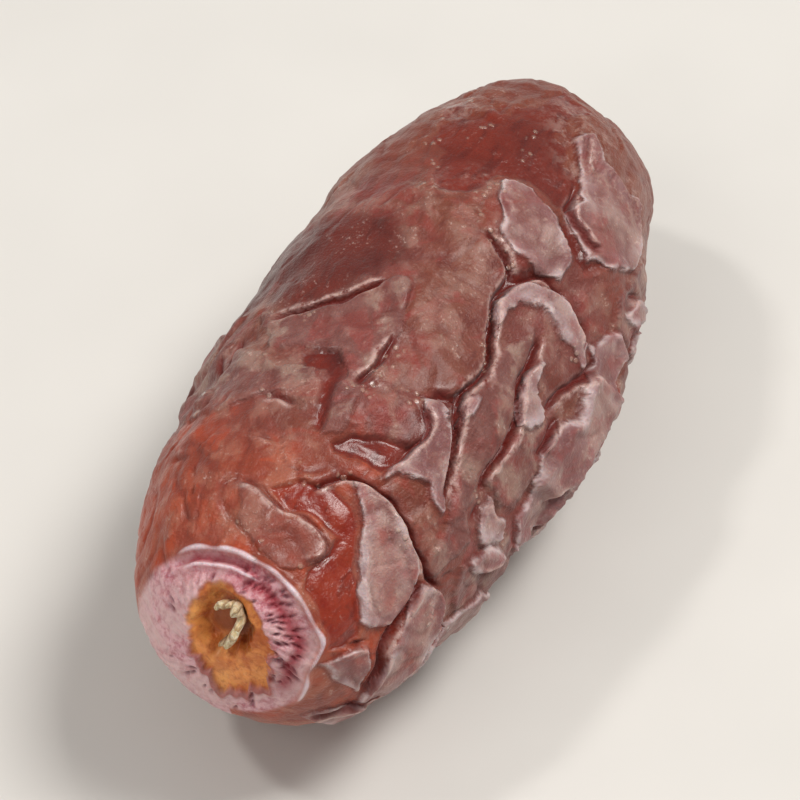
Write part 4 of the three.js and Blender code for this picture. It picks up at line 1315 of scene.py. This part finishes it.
# %% Colours of the flesh, the close skin, the plain plates and the pale plates
flesh = layers(
    (88, 20, 12),
    (broad.ramp(0.3, 0.7), (118, 34, 20)),
    (orange * (broad * 0.6 + 0.6), (130, 32, 14)),
    (tip * 0.5, (112, 38, 22)),
    (cast * orange * 0.3, (158, 66, 38)),
    (streak.ramp(0.5, 0.7) * 0.5, (74, 14, 9)),
)
warm = layers((146, 62, 34), (blush, (176, 74, 34)), (cast * 0.6, (182, 116, 90)))
close_skin = layers(
    (120, 62, 56),
    (drift.ramp(0.35, 0.65), (116, 60, 44)),
    (middling.ramp(0.45, 0.7) * 0.7, (140, 92, 84)),
    (streak.ramp(0.52, 0.7) * 0.6, (92, 32, 26)),
    (fine.ramp(0.58, 0.78) * 0.55, (172, 128, 116)),
    (blush * 0.55, (140, 54, 48)),
    (cast * 0.4, (156, 118, 104)),
    (orange * 0.8, warm),
    (tip * 0.75, (122, 60, 38)),
    # the dark patch, partly painted shade
    (dark * 0.9, (74, 26, 20)),
)
plain_plates = layers(
    (108, 62, 58),
    (middling.ramp(0.3, 0.7), (132, 88, 82)),
    (blush * 0.5, (146, 64, 58)),
    (cast * 0.6, (160, 134, 120)),
    (streak.ramp(0.52, 0.72) * 0.45, (96, 44, 38)),
    (fine.ramp(0.56, 0.76) * 0.5, (170, 132, 124)),
    (orange * 0.4, (142, 74, 52)),
)
pale_plates = layers(
    (132, 90, 92),
    (broad.ramp(0.35, 0.65), (162, 128, 124)),
    (blush * 0.45, (154, 88, 86)),
    (middling.ramp(0.5, 0.72) * 0.5, (122, 70, 66)),
    (cast * 0.45, (180, 156, 148)),
    (fine.ramp(0.52, 0.76) * 0.6, (194, 168, 160)),
)

# %% The mosaic, with its edges in painted highlight and painted shadow, its dust, its lips and its creases in painted shade
pale_share = pale * (1 - plate_depth.ramp(0.5, 1.6) * 0.3 - broad.ramp(0.56, 0.36) * 0.3)
# pale patches on the tip: partly thin greyish skin over the flesh, partly a painted sheen
film_and_sheen = drift.ramp(0.46, 0.6) * tip * (middling + fine - 0.5).ramp(0.4, 0.7)
dust = (fine * 0.6 + grain * 0.4).ramp(0.55, 0.66) * middling.ramp(0.42, 0.6)
dust = dust * broad.ramp(0.44, 0.6) * (1 - close * 0.6)
mosaic = layers(
    close_skin,
    (plain * 0.85, plain_plates),
    (pale_share, pale_plates),
    # painted highlight: lilac-white sheen inside the plate edges
    (painted_sheen_edge * 0.55, (196, 180, 186)),
    # pale plate rims: partly pale skin edge, partly painted highlight
    (plate_edge * 0.75, (210, 190, 190)),
    # painted shadow just outside the plate edges
    (painted_shadow_under_edge * 0.6, (92, 26, 18)),
    # painted shade: the furrows darkened
    (furrow * 0.5 * (1 - bare), (100, 38, 30)),
    ((close * 1.1 - 0.1).clamp(), flesh),
    (carried("glow") * 0.55, (180, 64, 28)),
    # pale patches on the tip, partly painted sheen
    (film_and_sheen * 0.45, (168, 136, 126)),
    (dust * 0.55, (202, 174, 164)),
    (lip_line * 0.75, (208, 176, 168)),
    # painted shade: the creases darkened to dark red
    (crease * 0.95, (100, 20, 12)),
    (bead * 0.3, (210, 176, 156)),
    (carried("tip_mark").ramp(0.55, 0.95) * 0.85, (70, 38, 24)),
)

# %% The scar over the mosaic: the band, its groove and ridge, the disc, its rim and its pit
band_colour = layers(
    (166, 88, 100),
    (fine.ramp(0.3, 0.62), (210, 162, 168)),
    (broad.ramp(0.35, 0.65) * 0.7, (204, 172, 170)),
    (carried("band_pit") * 0.85, (104, 34, 50)),
)
disc_colour = layers(
    (186, 96, 42),
    (middling.ramp(0.35, 0.65), (228, 148, 78)),
    (broad.ramp(0.5, 0.65) * 0.6, (234, 170, 98)),
    (fine.ramp(0.45, 0.75) * 0.6, (156, 70, 30)),
)
skin_colour = layers(
    mosaic,
    (carried("scar_band"), band_colour),
    (carried("scar_groove") * 0.85, (146, 26, 44)),
    # the ridge is whitish skin, brightened further as a painted highlight
    (carried("scar_ridge").ramp(0.4, 0.95) * (fine * 0.5 + 0.65), (222, 204, 212)),
    (carried("scar_disc"), disc_colour),
    (carried("disc_rim") * 0.8, (140, 52, 34)),
    (carried("scar_pit"), (140, 70, 28)),
)

# %% Gloss and bump of the skin
BUMP_HEIGHT = 1.6
roughness = (0.5 - close * 0.16 + (fine - 0.5) * 0.4 + pale * 0.04 - bead * 0.35).clamp()
coat = (close * 0.19 + 0.06 + lip_line * 0.3 + bead * 0.8).clamp()
relief = middling * 0.07 + fine * (0.08 - close * 0.045) + grain * (0.024 - close * 0.012)
relief = relief + rim * 0.05 + streak * 0.06 - crease * 0.06 + bead * 0.05
relief = relief + pale * 0.05 + plain * 0.03 - bare * 0.03 + plate_edge * 0.03
fruit_skin.data.materials.append(skin_bench.finish({
    "Base Color": skin_colour,
    "Roughness": roughness,
    "Coat Weight": coat,
    "Coat Roughness": 0.19,
    "Subsurface Weight": 0.22,
    "Subsurface Radius": (1.0, 0.3, 0.16),
    "Subsurface Scale": 0.0009,
    "IOR": 1.45,
    "Specular IOR Level": 0.36,
    "Sheen Weight": 0.08,
    "Sheen Roughness": 0.5,
    "Normal": skin_bench.bump(relief, BUMP_HEIGHT * MM),
}))
print("the skin's material has", len(skin_bench.tree.nodes), "nodes")

# %% [markdown]
# ## The finish of the fibre
# Dry fibre is pale straw, darker towards its root, with fine streaks and dark splits along
# its length.

# %% Fibre material
fibre_bench = Bench("dry fibre")
streaks = fibre_bench.noise(0.22, 4, 0.65, 0.5, fibre_bench.stretched((0.4, 1, 1)))
root = fibre_bench.attribute("level").ramp(0.1, -0.9)
split = (fibre_bench.attribute("around") * 17 + streaks * 7).sine().ramp(0.55, 1.0)
stalk_fibre.data.materials.append(fibre_bench.finish({
    "Base Color": fibre_bench.layers(
        (222, 190, 138),
        (streaks.ramp(0.3, 0.7), (250, 238, 208)),
        (split * 0.6, (172, 122, 70)),
        (root * 0.8, (150, 92, 44))),
    "Roughness": 0.55 + (streaks - 0.5) * 0.3,
    "Subsurface Weight": 0.2,
    "Subsurface Radius": (1.0, 0.6, 0.3),
    "Subsurface Scale": 0.0006,
    "Normal": fibre_bench.bump(streaks - split * 0.5, 0.5 * MM),
}))

# %% [markdown]
# ## A plain table, soft light and the camera
# The floor is plain and pale. One broad light stands over the front, as a window would, with
# a dim fill from the scar end and a small lamp behind that puts a glint on wet skin. The
# camera looks down on the scar end, as in the photograph.

# %% Floor
FLOOR_SIZE = 1.2
bpy.ops.mesh.primitive_plane_add(size=FLOOR_SIZE, location=(0, 0, 0))
table = bpy.context.object
table.name = "table"
table_bench = Bench("pale table")
speck = table_bench.noise(14.0, 2, 0.5)
table.data.materials.append(table_bench.finish({
    "Base Color": table_bench.layers((208, 205, 200), (speck, (216, 213, 208))),
    "Roughness": 0.8,
}))

# %% Camera
CAMERA_AZIMUTH = math.radians(-64.6)
CAMERA_ELEVATION = math.radians(47.0)
CAMERA_DISTANCE = 250.0
PHOTO_PIXELS_PER_MM = 5.0
FRAME_PIXELS = 252.0
SENSOR = 36.0
AIM_SHIFT = (-0.2, -0.7)
NEAREST_SEEN = 0.01


def standing(x_way, y_way, z_way, at):
    """A matrix that turns an object's axes these ways and puts it at a place."""
    matrix = np.eye(4)
    matrix[:3] = np.stack([x_way, y_way, z_way, at], -1)
    return matrix.T.tolist()


back = np.array([
    math.sin(CAMERA_AZIMUTH) * math.cos(CAMERA_ELEVATION),
    -math.cos(CAMERA_AZIMUTH) * math.cos(CAMERA_ELEVATION),
    math.sin(CAMERA_ELEVATION),
])
right = np.array([math.cos(CAMERA_AZIMUTH), math.sin(CAMERA_AZIMUTH), 0.0])
up = np.cross(back, right)
aim = place + AIM_SHIFT[0] * right + AIM_SHIFT[1] * up
eye = (aim + back * CAMERA_DISTANCE) * MM
camera_data = bpy.data.cameras.new("camera")
camera_data.sensor_width = SENSOR
camera_data.lens = SENSOR * CAMERA_DISTANCE / (FRAME_PIXELS / PHOTO_PIXELS_PER_MM)
camera_data.clip_start = NEAREST_SEEN
camera = bpy.data.objects.new("camera", camera_data)
bpy.context.scene.collection.objects.link(camera)
camera.matrix_world = standing(right, up, back, eye)
bpy.context.scene.camera = camera
print("lens", round(camera_data.lens, 1), "mm")

# %% Lights


def soft_light(name, from_place, size, power, tint):
    """A square light at a place in metres that faces the middle of the fruit."""
    data = bpy.data.lights.new(name, "AREA")
    data.size, data.energy, data.color = size, power, tint
    lamp = bpy.data.objects.new(name, data)
    bpy.context.scene.collection.objects.link(lamp)
    away = unit(np.array(from_place, float))
    side = unit(np.cross([0.0, 0.0, 1.0], away))
    lamp.matrix_world = standing(side, np.cross(away, side), away, from_place)


soft_light("window", (0.16, -0.215, 0.48), 0.2, 2.5, (1.0, 0.98, 0.95))
soft_light("fill", (-0.4, 0.1, 0.3), 0.4, 0.7, (1.0, 0.97, 0.94))
soft_light("glint", (-0.1, 0.24, 0.42), 0.05, 0.55, (1.0, 0.98, 0.95))
ROOM_LIGHT = 0.28
world = bpy.data.worlds.new("room")
world.use_nodes = True
background = world.node_tree.nodes["Background"]
background.inputs["Color"].default_value = (1.0, 0.98, 0.96, 1.0)
background.inputs["Strength"].default_value = ROOM_LIGHT
bpy.context.scene.world = world
bpy.context.scene.view_settings.view_transform = "Standard"
print("lights:", ", ".join(light.name for light in bpy.data.lights))
